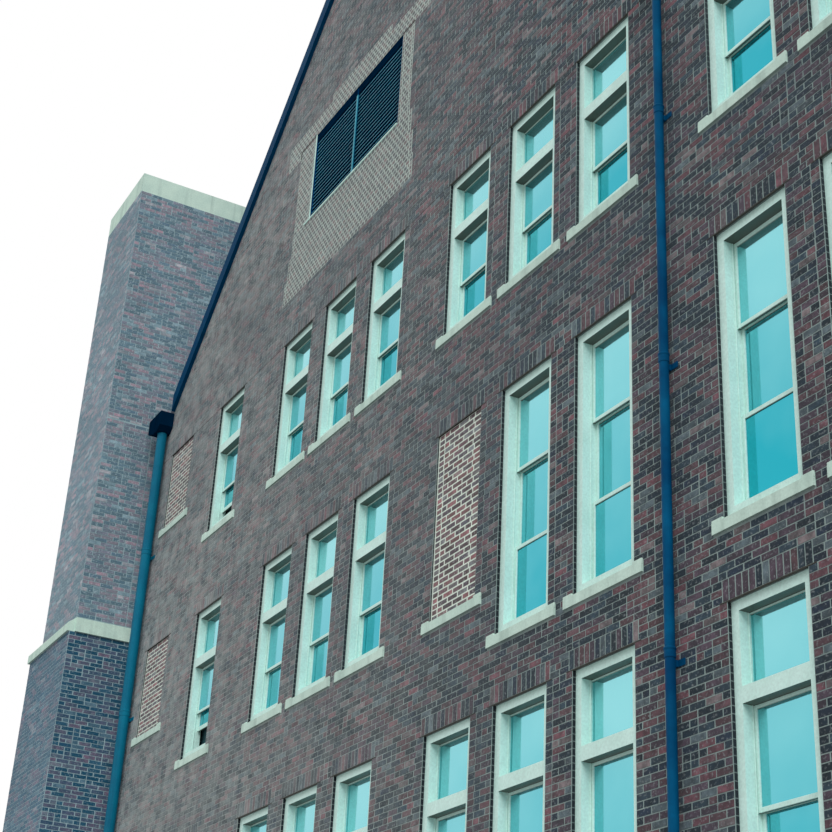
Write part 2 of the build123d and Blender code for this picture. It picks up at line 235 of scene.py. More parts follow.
def chamfer_sides() -> tuple[Array, Array]:
    """Faces of a chamfered box whose points are numbered three times the corner plus the axis.

    Each corner of the box has three points, one on each side that meets there. Faces that would
    point inwards, judged on a unit box from its middle, are turned round.

    Returns:
        The four-cornered and the three-cornered faces.
    """
    corners = np.array(list(product((0, 1), repeat=3)))
    weight = np.array([4, 2, 1])
    quads, triangles = [], [[3 * corner + axis for axis in range(3)] for corner in range(8)]
    for axis in range(3):
        second, third = (axis + 1) % 3, (axis + 2) % 3
        for side in (0, 1):
            ring = np.zeros((4, 3), int)
            ring[:, axis], ring[:, [second, third]] = side, RECTANGLE
            quads.append(ring @ weight * 3 + axis)
        for near, far in product((0, 1), repeat=2):
            start = near * weight[second] + far * weight[third]
            end = start + weight[axis]
            quads.append([3 * start + second, 3 * end + second, 3 * end + third, 3 * start + third])
    moved_in = 0.2 + 0.6 * corners[:, None]
    unit = np.where(np.eye(3, dtype=bool)[None], corners[:, None], moved_in).reshape(-1, 3)

    def outward(faces: Array) -> Array:
        """The faces, with those that point inwards turned round."""
        ring = unit[faces]
        normal = np.cross(ring[:, 1] - ring[:, 0], ring[:, 2] - ring[:, 0])
        inward = ((ring.mean(axis=1) - 0.5) * normal).sum(axis=1) < 0
        return np.where(inward[:, None], faces[:, ::-1], faces)

    return outward(np.array(quads)), outward(np.array(triangles))


CHAMFER_QUADS, CHAMFER_TRIANGLES = chamfer_sides()


def chamfered_boxes(low: Array, high: Array, chamfer: float) -> tuple[Array, Array, Array]:
    """Closed boxes with a narrow flat along every edge.

    Each corner gives three points; the point for an axis lies at the full extent on that axis
    and is moved in by the chamfer on the other two.

    Args:
        low: least u, v and w of each box, one row a box.
        high: greatest u, v and w of each box.
        chamfer: width of the flat, measured along each side.

    Returns:
        The points, twenty-four a box, the four-cornered and the three-cornered faces.
    """
    low, high = np.atleast_2d(low), np.atleast_2d(high)
    corners = np.array(list(product((0, 1), repeat=3)))[None, :, None]
    inset = chamfer * ~np.eye(3, dtype=bool)
    near, far = low[:, None, None] + inset, high[:, None, None] - inset
    points = np.where(corners == 1, far, near).reshape(-1, 3)
    first = np.arange(len(low))[:, None, None] * CHAMFERED_BOX_POINTS
    return points, (first + CHAMFER_QUADS).reshape(-1, 4), (first + CHAMFER_TRIANGLES).reshape(-1, 3)


def revolved(profile: Array, centre: tuple[float, float], segments: int = 24) -> tuple[Array, Array]:
    """A closed ring about an upright axis: the profile's radius r and height z at each angle a.

    The point is (r cos a, r sin a, z) beside the axis, and both directions of the grid close.

    Args:
        profile: closed outline, one row of radius and height a point, running upwards outside.
        centre: X and Y of the axis.
        segments: steps round the axis.

    Returns:
        The points and the four-cornered faces.
    """
    angle = np.linspace(0, 2 * math.pi, segments, endpoint=False)[:, None]
    radius, height = profile[:, 0][None], profile[:, 1][None]
    points = np.stack([centre[0] + radius * np.cos(angle), centre[1] + radius * np.sin(angle),
                       height + 0 * angle], axis=-1)
    index = np.arange(points[..., 0].size).reshape(points.shape[:2])
    step, turn = np.roll(index, -1, axis=1), np.roll(index, -1, axis=0)
    faces = np.stack([index, turn, np.roll(turn, -1, axis=1), step], axis=-1)
    return points.reshape(-1, 3), faces.reshape(-1, 4)


@dataclass
class Piece:
    """One new piece of the scene, gathered as whole arrays before it becomes an object."""

    name: str
    points: list[Array] = field(default_factory=list)
    faces: list[Array] = field(default_factory=list)
    values: dict[str, list[Array]] = field(default_factory=dict)
    size: int = 0

    def add(self, face: Face | None, points: Array, *faces: Array, **values: Array | float) -> None:
        """Adds points and faces, with a value for each point under each attribute's name.

        Args:
            face: the face that the points are local to, or none where they are in place.
            points: the points, one row each.
            faces: faces by the points' own numbers, from nought.
            values: one number, or one a point, for each attribute.
        """
        self.points.append(face.place(points) if face else points)
        self.faces += [group + self.size for group in faces]
        for name, value in values.items():
            self.values.setdefault(name, []).append(np.broadcast_to(value, len(points)))
        self.size += len(points)

    def add_boxes(self, face: Face, low: Array, high: Array, chamfer: float) -> None:
        """Adds boxes with a narrow flat along every edge, by their least and greatest corners."""
        self.add(face, *chamfered_boxes(low, high, chamfer))

    def add_bricks(self, face: Face, low: Array, high: Array, bevel: float, rng: Random) -> None:
        """Adds bricks by their least and greatest corners, each with its own tone and shade.

        Args:
            face: the face that they lie on.
            low: least u, v and w of each brick, one row a brick.
            high: greatest u, v and w of each brick.
            bevel: how far each side of a brick's outer end is moved in.
            rng: the source of the tones and shades.
        """
        tone, shade = (np.repeat(rng.uniform(0, 1, len(low)), BOX_POINTS) for _ in range(2))
        self.add(face, *tapered_boxes(low, high, bevel), tone=tone, shade=shade)

    def finish(self, finish: "Finish", slot: str, *replaced: str) -> bpy.types.Object:
        """Makes the object, gives it its finish and ties it to the building.

        Args:
            finish: the finish that covers the whole piece.
            slot: the record's material slot that the finish belongs to; not used.
            replaced: nodes that this piece stands for.

        Returns:
            The new object.
        """
        mesh = bpy.data.meshes.new(self.name)
        points = np.concatenate(self.points)
        counts = np.concatenate([np.full(len(group), group.shape[1]) for group in self.faces])
        corners = np.concatenate([group.ravel() for group in self.faces])
        mesh.vertices.add(len(points))
        mesh.vertices.foreach_set("co", points.astype(np.float32).ravel())
        mesh.loops.add(len(corners))
        mesh.loops.foreach_set("vertex_index", corners.astype(np.int32))
        mesh.polygons.add(len(counts))
        mesh.polygons.foreach_set("loop_start", (np.cumsum(counts) - counts).astype(np.int32))
        mesh.update(calc_edges=True)
        mesh.set_sharp_from_angle(angle=math.radians(30))
        for name, groups in self.values.items():
            layer = mesh.attributes.new(name, "FLOAT", "POINT")
            layer.data.foreach_set("value", np.concatenate(groups).astype(np.float32))
        mesh.materials.append(finish.material())
        item = bpy.data.objects.new(self.name, mesh)
        bpy.context.scene.collection.objects.link(item)
        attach(item, "root")
        if replaced:
            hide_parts(*replaced)
        LOG.info("%s: %d faces", self.name, len(counts))
        return item


class Nodes:
    """Short ways to add and join the nodes of one tree."""

    def __init__(self, tree: bpy.types.NodeTree) -> None:
        self.tree = tree

    def add(self, kind: str, inputs: dict | None = None, **settings: object) -> bpy.types.Node:
        """Adds a node, sets its options and feeds its inputs with values or other sockets.

        Args:
            kind: the node's type name, without its ShaderNode prefix.
            inputs: a value or an output socket for each named or numbered input.
            settings: the node's own options.

        Returns:
            The new node.
        """
        node = self.tree.nodes.new(f"ShaderNode{kind}")
        for name, value in settings.items():
            setattr(node, name, value)
        for name, value in (inputs or {}).items():
            self.feed(node.inputs[name], value)
        return node

    def feed(self, socket: Socket, value: object) -> None:
        """Links an output socket to an input, or sets the input's own value."""
        if isinstance(value, Socket):
            self.tree.links.new(value, socket)
        else:
            socket.default_value = value

    def calc(self, kind: str, first: object, second: object = 0.0) -> Socket:
        """One arithmetic step on one or two numbers."""
        return self.add("Math", {0: first, 1: second}, operation=kind).outputs[0]

    def times(self, first: object, second: object) -> Socket:
        """The product of two numbers."""
        return self.calc("MULTIPLY", first, second)

    def mix(self, share: object, first: object, second: object) -> Socket:
        """Mixes two colours by a share from 0 to 1."""
        return self.add("Mix", {"Factor": share, 6: first, 7: second}, data_type="RGBA").outputs[2]

    def lit(self, colour: Socket, value: object) -> Socket:
        """A colour made lighter or darker by a factor."""
        return self.add("HueSaturation", {"Color": colour, "Value": value}).outputs[0]

    def axes(self, vector: Socket) -> bpy.types.NodeOutputs:
        """The three parts of a vector."""
        return self.add("SeparateXYZ", {0: vector}).outputs

    def noise(self, place: Socket, scale: float, detail: float = 3.0, stretch: Point = (1, 1, 1)) -> Socket:
        """Smooth noise of about 0.5, with so many swells a metre and a stretch along each axis."""
        moved = self.add("Mapping", {"Vector": place, "Scale": stretch}).outputs[0]
        return self.add("TexNoise", {"Vector": moved, "Scale": scale, "Detail": detail}).outputs["Fac"]

    def band(self, value: Socket, low: float, high: float, start: float = 0.0, end: float = 1.0) -> Socket:
        """A number from start at low to end at high, level beyond both."""
        inputs = {"Value": value, "From Min": low, "From Max": high, "To Min": start, "To Max": end}
        return self.add("MapRange", inputs).outputs[0]

    def steps(self, value: Socket, stops: Iterable[tuple[float, Shown]]) -> Socket:
        """Colours by position from 0 to 1, each level up to the next."""
        node = self.add("ValToRGB", {0: value})
        node.color_ramp.interpolation = "CONSTANT"
        elements = node.color_ramp.elements
        for number, (position, shown) in enumerate(stops):
            stop = elements[number] if number < 2 else elements.new(position)
            stop.position, stop.color = position, linear(*shown)
        return node.outputs[0]

    def place(self) -> Socket:
        """The point on the building, in metres."""
        return self.add("TexCoord").outputs["Object"]

    def value(self, name: str) -> Socket:
        """One of the piece's own values."""
        return self.add("Attribute", attribute_name=name).outputs["Fac"]

    def bump(self, height: Socket, strength: float, distance: float) -> Socket:
        """A normal raised by a height from 0 to 1 over a distance."""
        return self.add("Bump", {"Height": height, "Strength": strength, "Distance": distance}).outputs[0]


class Effect(Enum):
    """Node groups that several finishes share."""

    BRICK = "brick colours"
    GRAIN = "grain"
    WEATHER = "weather"

    def group(self) -> bpy.types.NodeTree:
        """The group, made the first time that it is asked for."""
        if self.value not in bpy.data.node_groups:
            tree = bpy.data.node_groups.new(self.value, "ShaderNodeTree")
            EFFECT_MAKERS[self](tree)
        return bpy.data.node_groups[self.value]


def sockets(tree: bpy.types.NodeTree, inputs: dict[str, str],
            outputs: dict[str, str]) -> tuple[bpy.types.NodeOutputs, bpy.types.NodeInputs]:
    """Gives a group its sockets.

    Args:
        tree: the group.
        inputs: name and kind of each input, such as Float or Vector.
        outputs: name and kind of each output.

    Returns:
        What comes into the group, and what goes out of it.
    """
    for names, side in ((inputs, "INPUT"), (outputs, "OUTPUT")):
        for name, kind in names.items():
            tree.interface.new_socket(name=name, in_out=side, socket_type=f"NodeSocket{kind}")
    return tree.nodes.new("NodeGroupInput").outputs, tree.nodes.new("NodeGroupOutput").inputs


HAZE = linear(196, 212, 218)
# Pale colour painted over the walls towards the ends of the front, as painted light.
PAINTED_LIGHT = linear(180, 186, 182)
SPECK = linear(24, 30, 38)
BLOOM = linear(150, 158, 160)
BRICK_MIX = (
    (0.00, (12, 30, 42)),
    (0.18, (38, 56, 68)),
    (0.32, (74, 58, 70)),
    (0.52, (94, 66, 72)),
    (0.68, (22, 36, 54)),
    (0.78, (84, 98, 104)),
    (0.86, (110, 70, 78)),
    (0.95, (118, 106, 108)),
)


def make_brick_effect(tree: bpy.types.NodeTree) -> None:
    """Colour of one brick: its place in the mix, then blotches, dark specks and pale bloom."""
    ins, outs = sockets(tree, {"Position": "Vector", "Tone": "Float", "Shade": "Float"},
                        {"Color": "Color", "Height": "Float"})
    nodes = Nodes(tree)
    place = ins["Position"]
    base = nodes.steps(ins["Tone"], BRICK_MIX)
    blotch = nodes.band(nodes.noise(place, 12.0, 6.0), 0.35, 0.65, 0.62, 1.34)
    lit = nodes.lit(base, nodes.times(blotch, nodes.band(ins["Shade"], 0.0, 1.0, 0.56, 1.22)))
    specks = nodes.band(nodes.noise(place, 70.0, 2.0), 0.62, 0.70, 0.0, 0.55)
    spotted = nodes.mix(specks, lit, SPECK)
    bloom = nodes.band(nodes.noise(place, 34.0, 5.0), 0.55, 0.74, 0.0, 0.7)
    nodes.feed(outs["Color"], nodes.mix(bloom, spotted, BLOOM))
    rough = nodes.noise(place, 120.0, 3.0)
    nodes.feed(outs["Height"], nodes.calc("SUBTRACT", rough, nodes.times(specks, 0.6)))


def make_grain_effect(tree: bpy.types.NodeTree) -> None:
    """Fine and middling unevenness of one surface, both about 0.5."""
    ins, outs = sockets(tree, {"Position": "Vector", "Scale": "Float"}, {"Fine": "Float", "Broad": "Float"})
    nodes = Nodes(tree)
    scaled = nodes.add("VectorMath", {0: ins["Position"], 3: ins["Scale"]}, operation="SCALE").outputs[0]
    nodes.feed(outs["Fine"], nodes.noise(scaled, 40.0, 4.0))
    nodes.feed(outs["Broad"], nodes.noise(scaled, 4.0, 5.0))


def make_weather_effect(tree: bpy.types.NodeTree) -> None:
    """Rain streaks that run down a surface and soot that gathers in wide patches, both 0 to 1."""
    ins, outs = sockets(tree, {"Position": "Vector"}, {"Streaks": "Float", "Soot": "Float"})
    nodes = Nodes(tree)
    streaks = nodes.noise(ins["Position"], 7.0, 4.0, (1.0, 1.0, 0.06))
    nodes.feed(outs["Streaks"], nodes.band(streaks, 0.50, 0.72))
    nodes.feed(outs["Soot"], nodes.band(nodes.noise(ins["Position"], 0.35, 5.0), 0.40, 0.68))


EFFECT_MAKERS: dict[Effect, Callable] = {
    Effect.BRICK: make_brick_effect,
    Effect.GRAIN: make_grain_effect,
    Effect.WEATHER: make_weather_effect,
}


@dataclass(frozen=True)
class Finish:
    """A surface finish; each kind fills in its own shader."""

    name: str

    def material(self) -> bpy.types.Material:
        """The finish's material, made the first time that it is asked for."""
        title = f"{self.name}_finish"
        if title not in bpy.data.materials:
            made = bpy.data.materials.new(title)
            made.use_nodes = True
            self.shade(Nodes(made.node_tree), made.node_tree.nodes["Principled BSDF"].inputs)
        return bpy.data.materials[title]

    def effect(self, nodes: Nodes, effect: Effect, **inputs: object) -> bpy.types.NodeOutputs:
        """Places a shared effect in this finish's tree, feeds its inputs and returns its outputs."""
        node = nodes.add("Group", node_tree=effect.group())
        for name, value in inputs.items():
            nodes.feed(node.inputs[name], value)
        return node.outputs

    def dull(self, surface: bpy.types.NodeInputs, gloss: float, sheen: float) -> None:
        """Sets how much a surface mirrors, and the pale haze on it at grazing angles."""
        surface["Specular IOR Level"].default_value = gloss
        surface["Sheen Weight"].default_value = sheen
        surface["Sheen Tint"].default_value = HAZE

    def shade(self, nodes: Nodes, surface: bpy.types.NodeInputs) -> None:
        """Builds the shader; each kind of finish has its own."""
        raise NotImplementedError


@dataclass(frozen=True)
class Coat(Finish):
    """Paint, metal, stone, slate or mortar: one main colour broken by a second and by weather, and painted
    shade on faces that look down where asked.
    """

    main: Shown
    second: Shown
    stain_and_shade: Shown
    second_share: float = 0.5
    streak_share: float = 0.3
    soot_share: float = 0.2
    underside_shade: float = 0.0
    scale: float = 1.0
    relief: float = 0.002
    roughness: float = 0.6
    toned: float = 0.0
    sheen: float = 0.0
    gloss: float = 0.5

    def shade(self, nodes: Nodes, surface: bpy.types.NodeInputs) -> None:
        """Adds streaks, soot, painted shade on faces that look down and a fine relief to the coat's own colour.
        """
        place, stain_and_shade = nodes.place(), linear(*self.stain_and_shade)
        grain = self.effect(nodes, Effect.GRAIN, Position=place, Scale=self.scale)
        weather = self.effect(nodes, Effect.WEATHER, Position=place)
        colour = self.colour(nodes, place, grain)
        for dirt, share in (("Streaks", self.streak_share), ("Soot", self.soot_share)):
            colour = nodes.mix(nodes.times(weather[dirt], share), colour, stain_and_shade)
        # Painted shade: faces that look down are darkened towards the stain colour, as a soffit in shade is.
        if self.underside_shade:
            level = nodes.axes(nodes.add("NewGeometry").outputs["Normal"])[2]
            colour = nodes.mix(nodes.band(level, -0.9, -0.4, self.underside_shade, 0.0), colour, stain_and_shade)
        nodes.feed(surface["Base Color"], colour)
        low, high = self.roughness * 0.85, min(1.0, self.roughness * 1.15)
        nodes.feed(surface["Roughness"], nodes.band(grain["Fine"], 0.3, 0.7, low, high))
        nodes.feed(surface["Normal"], nodes.bump(grain["Fine"], 0.6, self.relief))
        self.dull(surface, self.gloss, self.sheen)

    def colour(self, nodes: Nodes, place: Socket, grain: bpy.types.NodeOutputs) -> Socket:
        """Mixes the two colours by the grain, and lightens or darkens them by the piece's tone."""
        patches = nodes.band(grain["Broad"], 0.36, 0.66, 0.0, self.second_share)
        colour = nodes.mix(patches, linear(*self.main), linear(*self.second))
        if self.toned:
            light = nodes.band(nodes.value("tone"), 0.0, 1.0, 1 - self.toned, 1 + self.toned)
            colour = nodes.lit(colour, light)
        return nodes.lit(colour, nodes.band(grain["Fine"], 0.3, 0.7, 0.92, 1.08))


@dataclass(frozen=True)
class Metal(Coat):
    """Painted or bare metal, smoother than stone."""

    relief: float = 0.001
    roughness: float = 0.5


@dataclass(frozen=True)
class Mortar(Coat):
    """Rough dull mortar with a pale haze."""

    relief: float = 0.004
    roughness: float = 0.95
    sheen: float = 0.3
    gloss: float = 0.2


@dataclass(frozen=True)
class WallBed(Mortar):
    """The front wall behind its bricks: mortar on the face, and near-black bricks painted as shade in the
    openings' returns.
    """

    shaded_return: Shown = (20, 27, 34)
    depth: float = 0.003
    painted_end_light: float = 0.5

    def colour(self, nodes: Nodes, place: Socket, grain: bpy.types.NodeOutputs) -> Socket:
        """Takes the mortar's colour, paled towards the ends as painted light, up to the depth, and brick
        darkened as painted shade beyond it.
        """
        across, inwards, upwards = nodes.axes(place)
        # Painted light: the mortar pales further from the middle of the front.
        away = nodes.band(nodes.calc("ABSOLUTE", across), 3.0, 9.0, 0.0, self.painted_end_light)
        mortar = nodes.mix(away, super().colour(nodes, place, grain), PAINTED_LIGHT)
        course = nodes.calc("FRACT", nodes.calc("DIVIDE", upwards, COURSE))
        # Painted shade: bricks in the returns are near black, as in the shade of the reveal.
        brick = nodes.mix(nodes.band(course, 0.10, 0.14, 0.5, 0.0), linear(*self.shaded_return), mortar)
        edge = self.depth - HALF_DEPTH
        return nodes.mix(nodes.band(inwards, edge, edge + 0.003), mortar, brick)


@dataclass(frozen=True)
class Brick(Finish):
    """Separate bricks, each with its own tone and shade, lifted towards a pale colour, sooted and paled towards
    the ends as painted light.
    """

    gain: float = 1.0
    pale: Shown = (150, 150, 146)
    lift: float = 0.0
    soot: Shown = (40, 50, 62)
    soot_share: float = 0.25
    painted_end_light: float = 0.0

    def shade(self, nodes: Nodes, surface: bpy.types.NodeInputs) -> None:
        """Takes the brick's colour by its own values and washes it with the wall's soot."""
        place = nodes.place()
        tone, shade = nodes.value("tone"), nodes.value("shade")
        brick = self.effect(nodes, Effect.BRICK, Position=place, Tone=tone, Shade=shade)
        colour = nodes.mix(self.lift, nodes.lit(brick["Color"], self.gain), linear(*self.pale))
        self.wash(nodes, surface, place, colour)
        nodes.feed(surface["Normal"], nodes.bump(brick["Height"], 0.5, 0.003))

    def wash(self, nodes: Nodes, surface: bpy.types.NodeInputs, place: Socket, colour: Socket) -> None:
        """Adds a wall's soot and streaks, paler painted light towards the ends, and sets how dull it is."""
        weather = self.effect(nodes, Effect.WEATHER, Position=place)
        dirt = nodes.calc("MAXIMUM", nodes.times(weather["Soot"], self.soot_share),
                          nodes.times(weather["Streaks"], self.soot_share / 2))
        # Painted light: the wall pales in patches further from the middle of the front.
        away = nodes.calc("ABSOLUTE", nodes.axes(place)[0])
        patchy = nodes.band(nodes.noise(place, 5.0, 6.0), 0.35, 0.65, 0.35, 1.65)
        end_light_share = nodes.times(nodes.band(away, 2.0, HALF_FRONT, 0.0, self.painted_end_light), patchy)
        lightened = nodes.mix(end_light_share, colour, PAINTED_LIGHT)
        nodes.feed(surface["Base Color"], nodes.mix(dirt, lightened, linear(*self.soot)))
        surface["Roughness"].default_value = 0.85
        self.dull(surface, gloss=0.2, sheen=0.3)


@dataclass(frozen=True)
class CoursedWall(Brick):
    """A plain wall whose bricks are in its shader, as on the sides and the back."""

    mortar: Shown = (136, 154, 150)
    across_x: bool = True
    joint: float = 0.010

    def shade(self, nodes: Nodes, surface: bpy.types.NodeInputs) -> None:
        """Lays stretcher courses over the wall's own plane and raises them over the mortar."""
        place = nodes.place()
        parts = nodes.axes(place)
        flat = nodes.add("CombineXYZ", {0: parts[0 if self.across_x else 1], 1: parts[2]}).outputs[0]
        black, white = linear(0, 0, 0), linear(255, 255, 255)
        laid = {"Vector": flat, "Scale": 1.0, "Brick Width": PITCH, "Row Height": COURSE,
                "Mortar Size": self.joint / 2, "Mortar Smooth": 0.2, "Bias": 0.0,
                "Color1": black, "Color2": white, "Mortar": black}
        courses = nodes.add("TexBrick", laid, offset=0.5, offset_frequency=2).outputs
        tone = nodes.add("SeparateColor", {0: courses["Color"]}).outputs[0]
        shade = nodes.calc("FRACT", nodes.times(tone, 7.31))
        brick = self.effect(nodes, Effect.BRICK, Position=place, Tone=tone, Shade=shade)
        self.wash(nodes, surface, place, nodes.mix(courses["Fac"], brick["Color"], linear(*self.mortar)))
        raised = nodes.calc("SUBTRACT", 1.0, courses["Fac"])
        height = nodes.calc("ADD", raised, nodes.times(brick["Height"], 0.25))
        nodes.feed(surface["Normal"], nodes.bump(height, 0.8, 0.006))


@dataclass(frozen=True)
class PaneGlass(Finish):
    """Glass that mirrors a bright sky, with a painted reflection in its colour: turquoise in a window's low
    panes, paler in the high ones.
    """

    deep: Shown = (28, 176, 194)
    pale: Shown = (146, 222, 228)

    def shade(self, nodes: Nodes, surface: bpy.types.NodeInputs) -> None:
        """Paints the reflection by the pane's level in its window and the height in it, varied by its own
        shade.
        """
        place = nodes.place()
        ripple = nodes.band(nodes.noise(place, 0.9, 3.0), 0.3, 0.7, -0.12, 0.12)
        own = nodes.band(nodes.value("shade"), 0.0, 1.0, -0.14, 0.14)
        # Painted reflection: higher panes and the upper part of each pane are paler.
        high = nodes.calc("ADD", nodes.times(nodes.value("level"), 0.75), nodes.times(nodes.value("rise"), 0.2))
        share = nodes.band(nodes.calc("ADD", high, nodes.calc("ADD", ripple, own)), 0.0, 1.0)
        nodes.feed(surface["Base Color"], nodes.mix(share, linear(*self.deep), linear(*self.pale)))
        dust = nodes.noise(place, 30.0, 4.0)
        nodes.feed(surface["Roughness"], nodes.band(dust, 0.35, 0.7, 0.04, 0.10))
        surface["Metallic"].default_value = 0.85
        nodes.feed(surface["Normal"], nodes.bump(nodes.noise(place, 1.3, 1.0), 0.03, 0.01))


@dataclass(frozen=True)
class Bond:
    """How bricks are laid and shaped.

    Half a joint comes off each side of a brick, moved by up to the slack, and its face stands
    proud of the wall, more or less by the unevenness. The split is the share of whole bricks
    that are laid as two headers. A course is laid where more than the thinnest share of it
    fits, and a brick where more than the scrap is left of it.
    """

    pitch: float = PITCH
    course: float = COURSE
    bed: float = 0.0085
    upright: float = 0.014
    proud: float = 0.003
    uneven: float = 0.0012
    bevel: float = 0.002
    stagger: float = 0.5
    shortest: float = 0.075
    scrap: float = 0.014
    thinnest: float = 0.45
    split: float = 0.08
    slack: float = 0.0016


@dataclass
class BrickField:
    """Courses of separate bricks over part of a face."""

    bond: Bond
    left: float
    right: float
    bottom: float
    top: float
    cuts: list[Opening] = field(default_factory=list)
    edges: Callable[[Array], tuple[Array, Array]] | None = None

    def rows(self) -> tuple[Array, Array, Array]:
        """Number, bottom and top of each course, counted from the ground; thin ones are left out."""
        course = self.bond.course
        number = np.arange(math.floor(self.bottom / course + 0.01), math.ceil(self.top / course))
        low, high = np.maximum(number * course, self.bottom), np.minimum((number + 1) * course, self.top)
        keep = high - low > course * self.bond.thinnest
        return number[keep], low[keep], high[keep]

    def laid(self) -> tuple[Array, ...]:
        """Left, right, bottom and top of every brick, before its joints are taken off.

        In course n, brick k runs from (k + stagger * (n mod 2)) * pitch to one pitch further.
        It is clipped to the field's edges and to every cut that its course meets. A clipped
        brick under the shortest length shares its room evenly with its neighbour.
        """
        bond = self.bond
        number, low, high = self.rows()
        start = math.floor(self.left / bond.pitch) - 2
        column = np.arange(start, math.ceil(self.right / bond.pitch) + 2)
        left = (column[None] + bond.stagger * (number[:, None] % 2)) * bond.pitch
        right = left + bond.pitch
        least, most = self.edges(high) if self.edges else (0 * high - NOWHERE, 0 * high + NOWHERE)
        least, most = np.maximum(least, self.left)[:, None], np.minimum(most, self.right)[:, None]
        left, right = self.clipped(left, right, 0 * least - NOWHERE, least)
        left, right = self.clipped(left, right, most, 0 * most + NOWHERE)
        middle = (low + high)[:, None] / 2
        for cut in self.cuts:
            met = (middle > cut.sill) & (middle < cut.head)
            near, far = (np.where(met, edge, NOWHERE) for edge in (cut.left, cut.right))
            left, right = self.clipped(left, right, near, far)
        keep = right - left > bond.upright + bond.scrap
        rows = [np.broadcast_to(edge[:, None], left.shape)[keep] for edge in (low, high)]
        return left[keep], right[keep], *rows

    def clipped(self, left: Array, right: Array, near: Array, far: Array) -> tuple[Array, Array]:
        """Left and right of the bricks with the room between near and far, one pair a course, cut out."""
        ends, starts = (left < near) & (right > near), (left < far) & (right > far)
        inside = (left >= near) & (right <= far)
        right = np.where(ends, near, np.where(inside, left, right))
        left = np.where(starts, far, left)
        short = (right - left > 0) & (right - left < self.bond.shortest)
        at_end, at_start = ends & short, starts & short
        shared_end = (np.roll(left, 1, axis=1) + right) / 2
        shared_start = (left + np.roll(right, -1, axis=1)) / 2
        left = np.where(at_end, shared_end, left)
        right = np.where(np.roll(at_end, -1, axis=1), np.roll(shared_end, -1, axis=1), right)
        right = np.where(at_start, shared_start, right)
        left = np.where(np.roll(at_start, 1, axis=1), np.roll(shared_start, 1, axis=1), left)
        return left, right

    def add_to(self, piece: Piece, face: Face, rng: Random, mirror: bool = False) -> None:
        """Adds the bricks to a piece, each a little out of line.

        Args:
            piece: the piece that takes them.
            face: the face that they lie on.
            rng: the source of their unevenness.
            mirror: whether the field lies on the other side of the face's origin.
        """
        left, right, low, high = self.halved(*self.laid(), rng)
        if mirror:
            left, right = -right, -left
        bond = self.bond
        slack = rng.uniform(-bond.slack, bond.slack, (4, len(left)))
        proud = bond.proud + rng.uniform(-bond.uneven, bond.uneven, len(left))
        side, bed = bond.upright / 2, bond.bed / 2
        least = corners_of(left + side + slack[0], low + bed + slack[1] / 2, INTO_WALL)
        most = corners_of(right - side + slack[2], high - bed + slack[3] / 2, proud)
        piece.add_bricks(face, least, most, bond.bevel, rng)

    def halved(self, left: Array, right: Array, low: Array, high: Array, rng: Random) -> tuple[Array, ...]:
        """Bricks with a share of the whole ones parted into two headers each."""
        whole = right - left > self.bond.pitch * 0.99
        parted = whole & (rng.uniform(0, 1, len(left)) < self.bond.split)
        middle = (left + right) / 2
        first = np.where(parted, middle, right)
        return (np.concatenate([left, middle[parted]]), np.concatenate([first, right[parted]]),
                np.concatenate([low, low[parted]]), np.concatenate([high, high[parted]]))


def gable_edges(top: Array) -> tuple[Array, Array]:
    """Least and greatest u of a gable at positive X, for the height of each course's top.

    Above the eaves |u - 7.8| is at most (apex - v) / slope, and above the shoulder u is at
    most the roof's foot.
    """
    reach = np.where(top > EAVES, (APEX - top) / SLOPE, NOWHERE)
    most = np.where(top > SHOULDER, ROOF_FOOT, HALF_FRONT)
    return np.maximum(GABLE_CENTRE - reach, 0.0), np.minimum(GABLE_CENTRE + reach, most)


def lapped_edges(lap: float) -> Callable[[Array], tuple[Array, Array]]:
    """A gable's edges, with every other course begun at the lap so that the halves interlock.

    Args:
        lap: where these courses begin, in metres from the middle of the front.

    Returns:
        A function of each course's top like gable_edges.
    """
    def edges(top: Array) -> tuple[Array, Array]:
        """Least and greatest u for the height of each course's top."""
        least, most = gable_edges(top)
        lapped = (np.round(top / COURSE).astype(int) % 2 == 0) & (least <= 0.0)
        return np.where(lapped, lap, np.maximum(least, 0.0)), most

    return edges


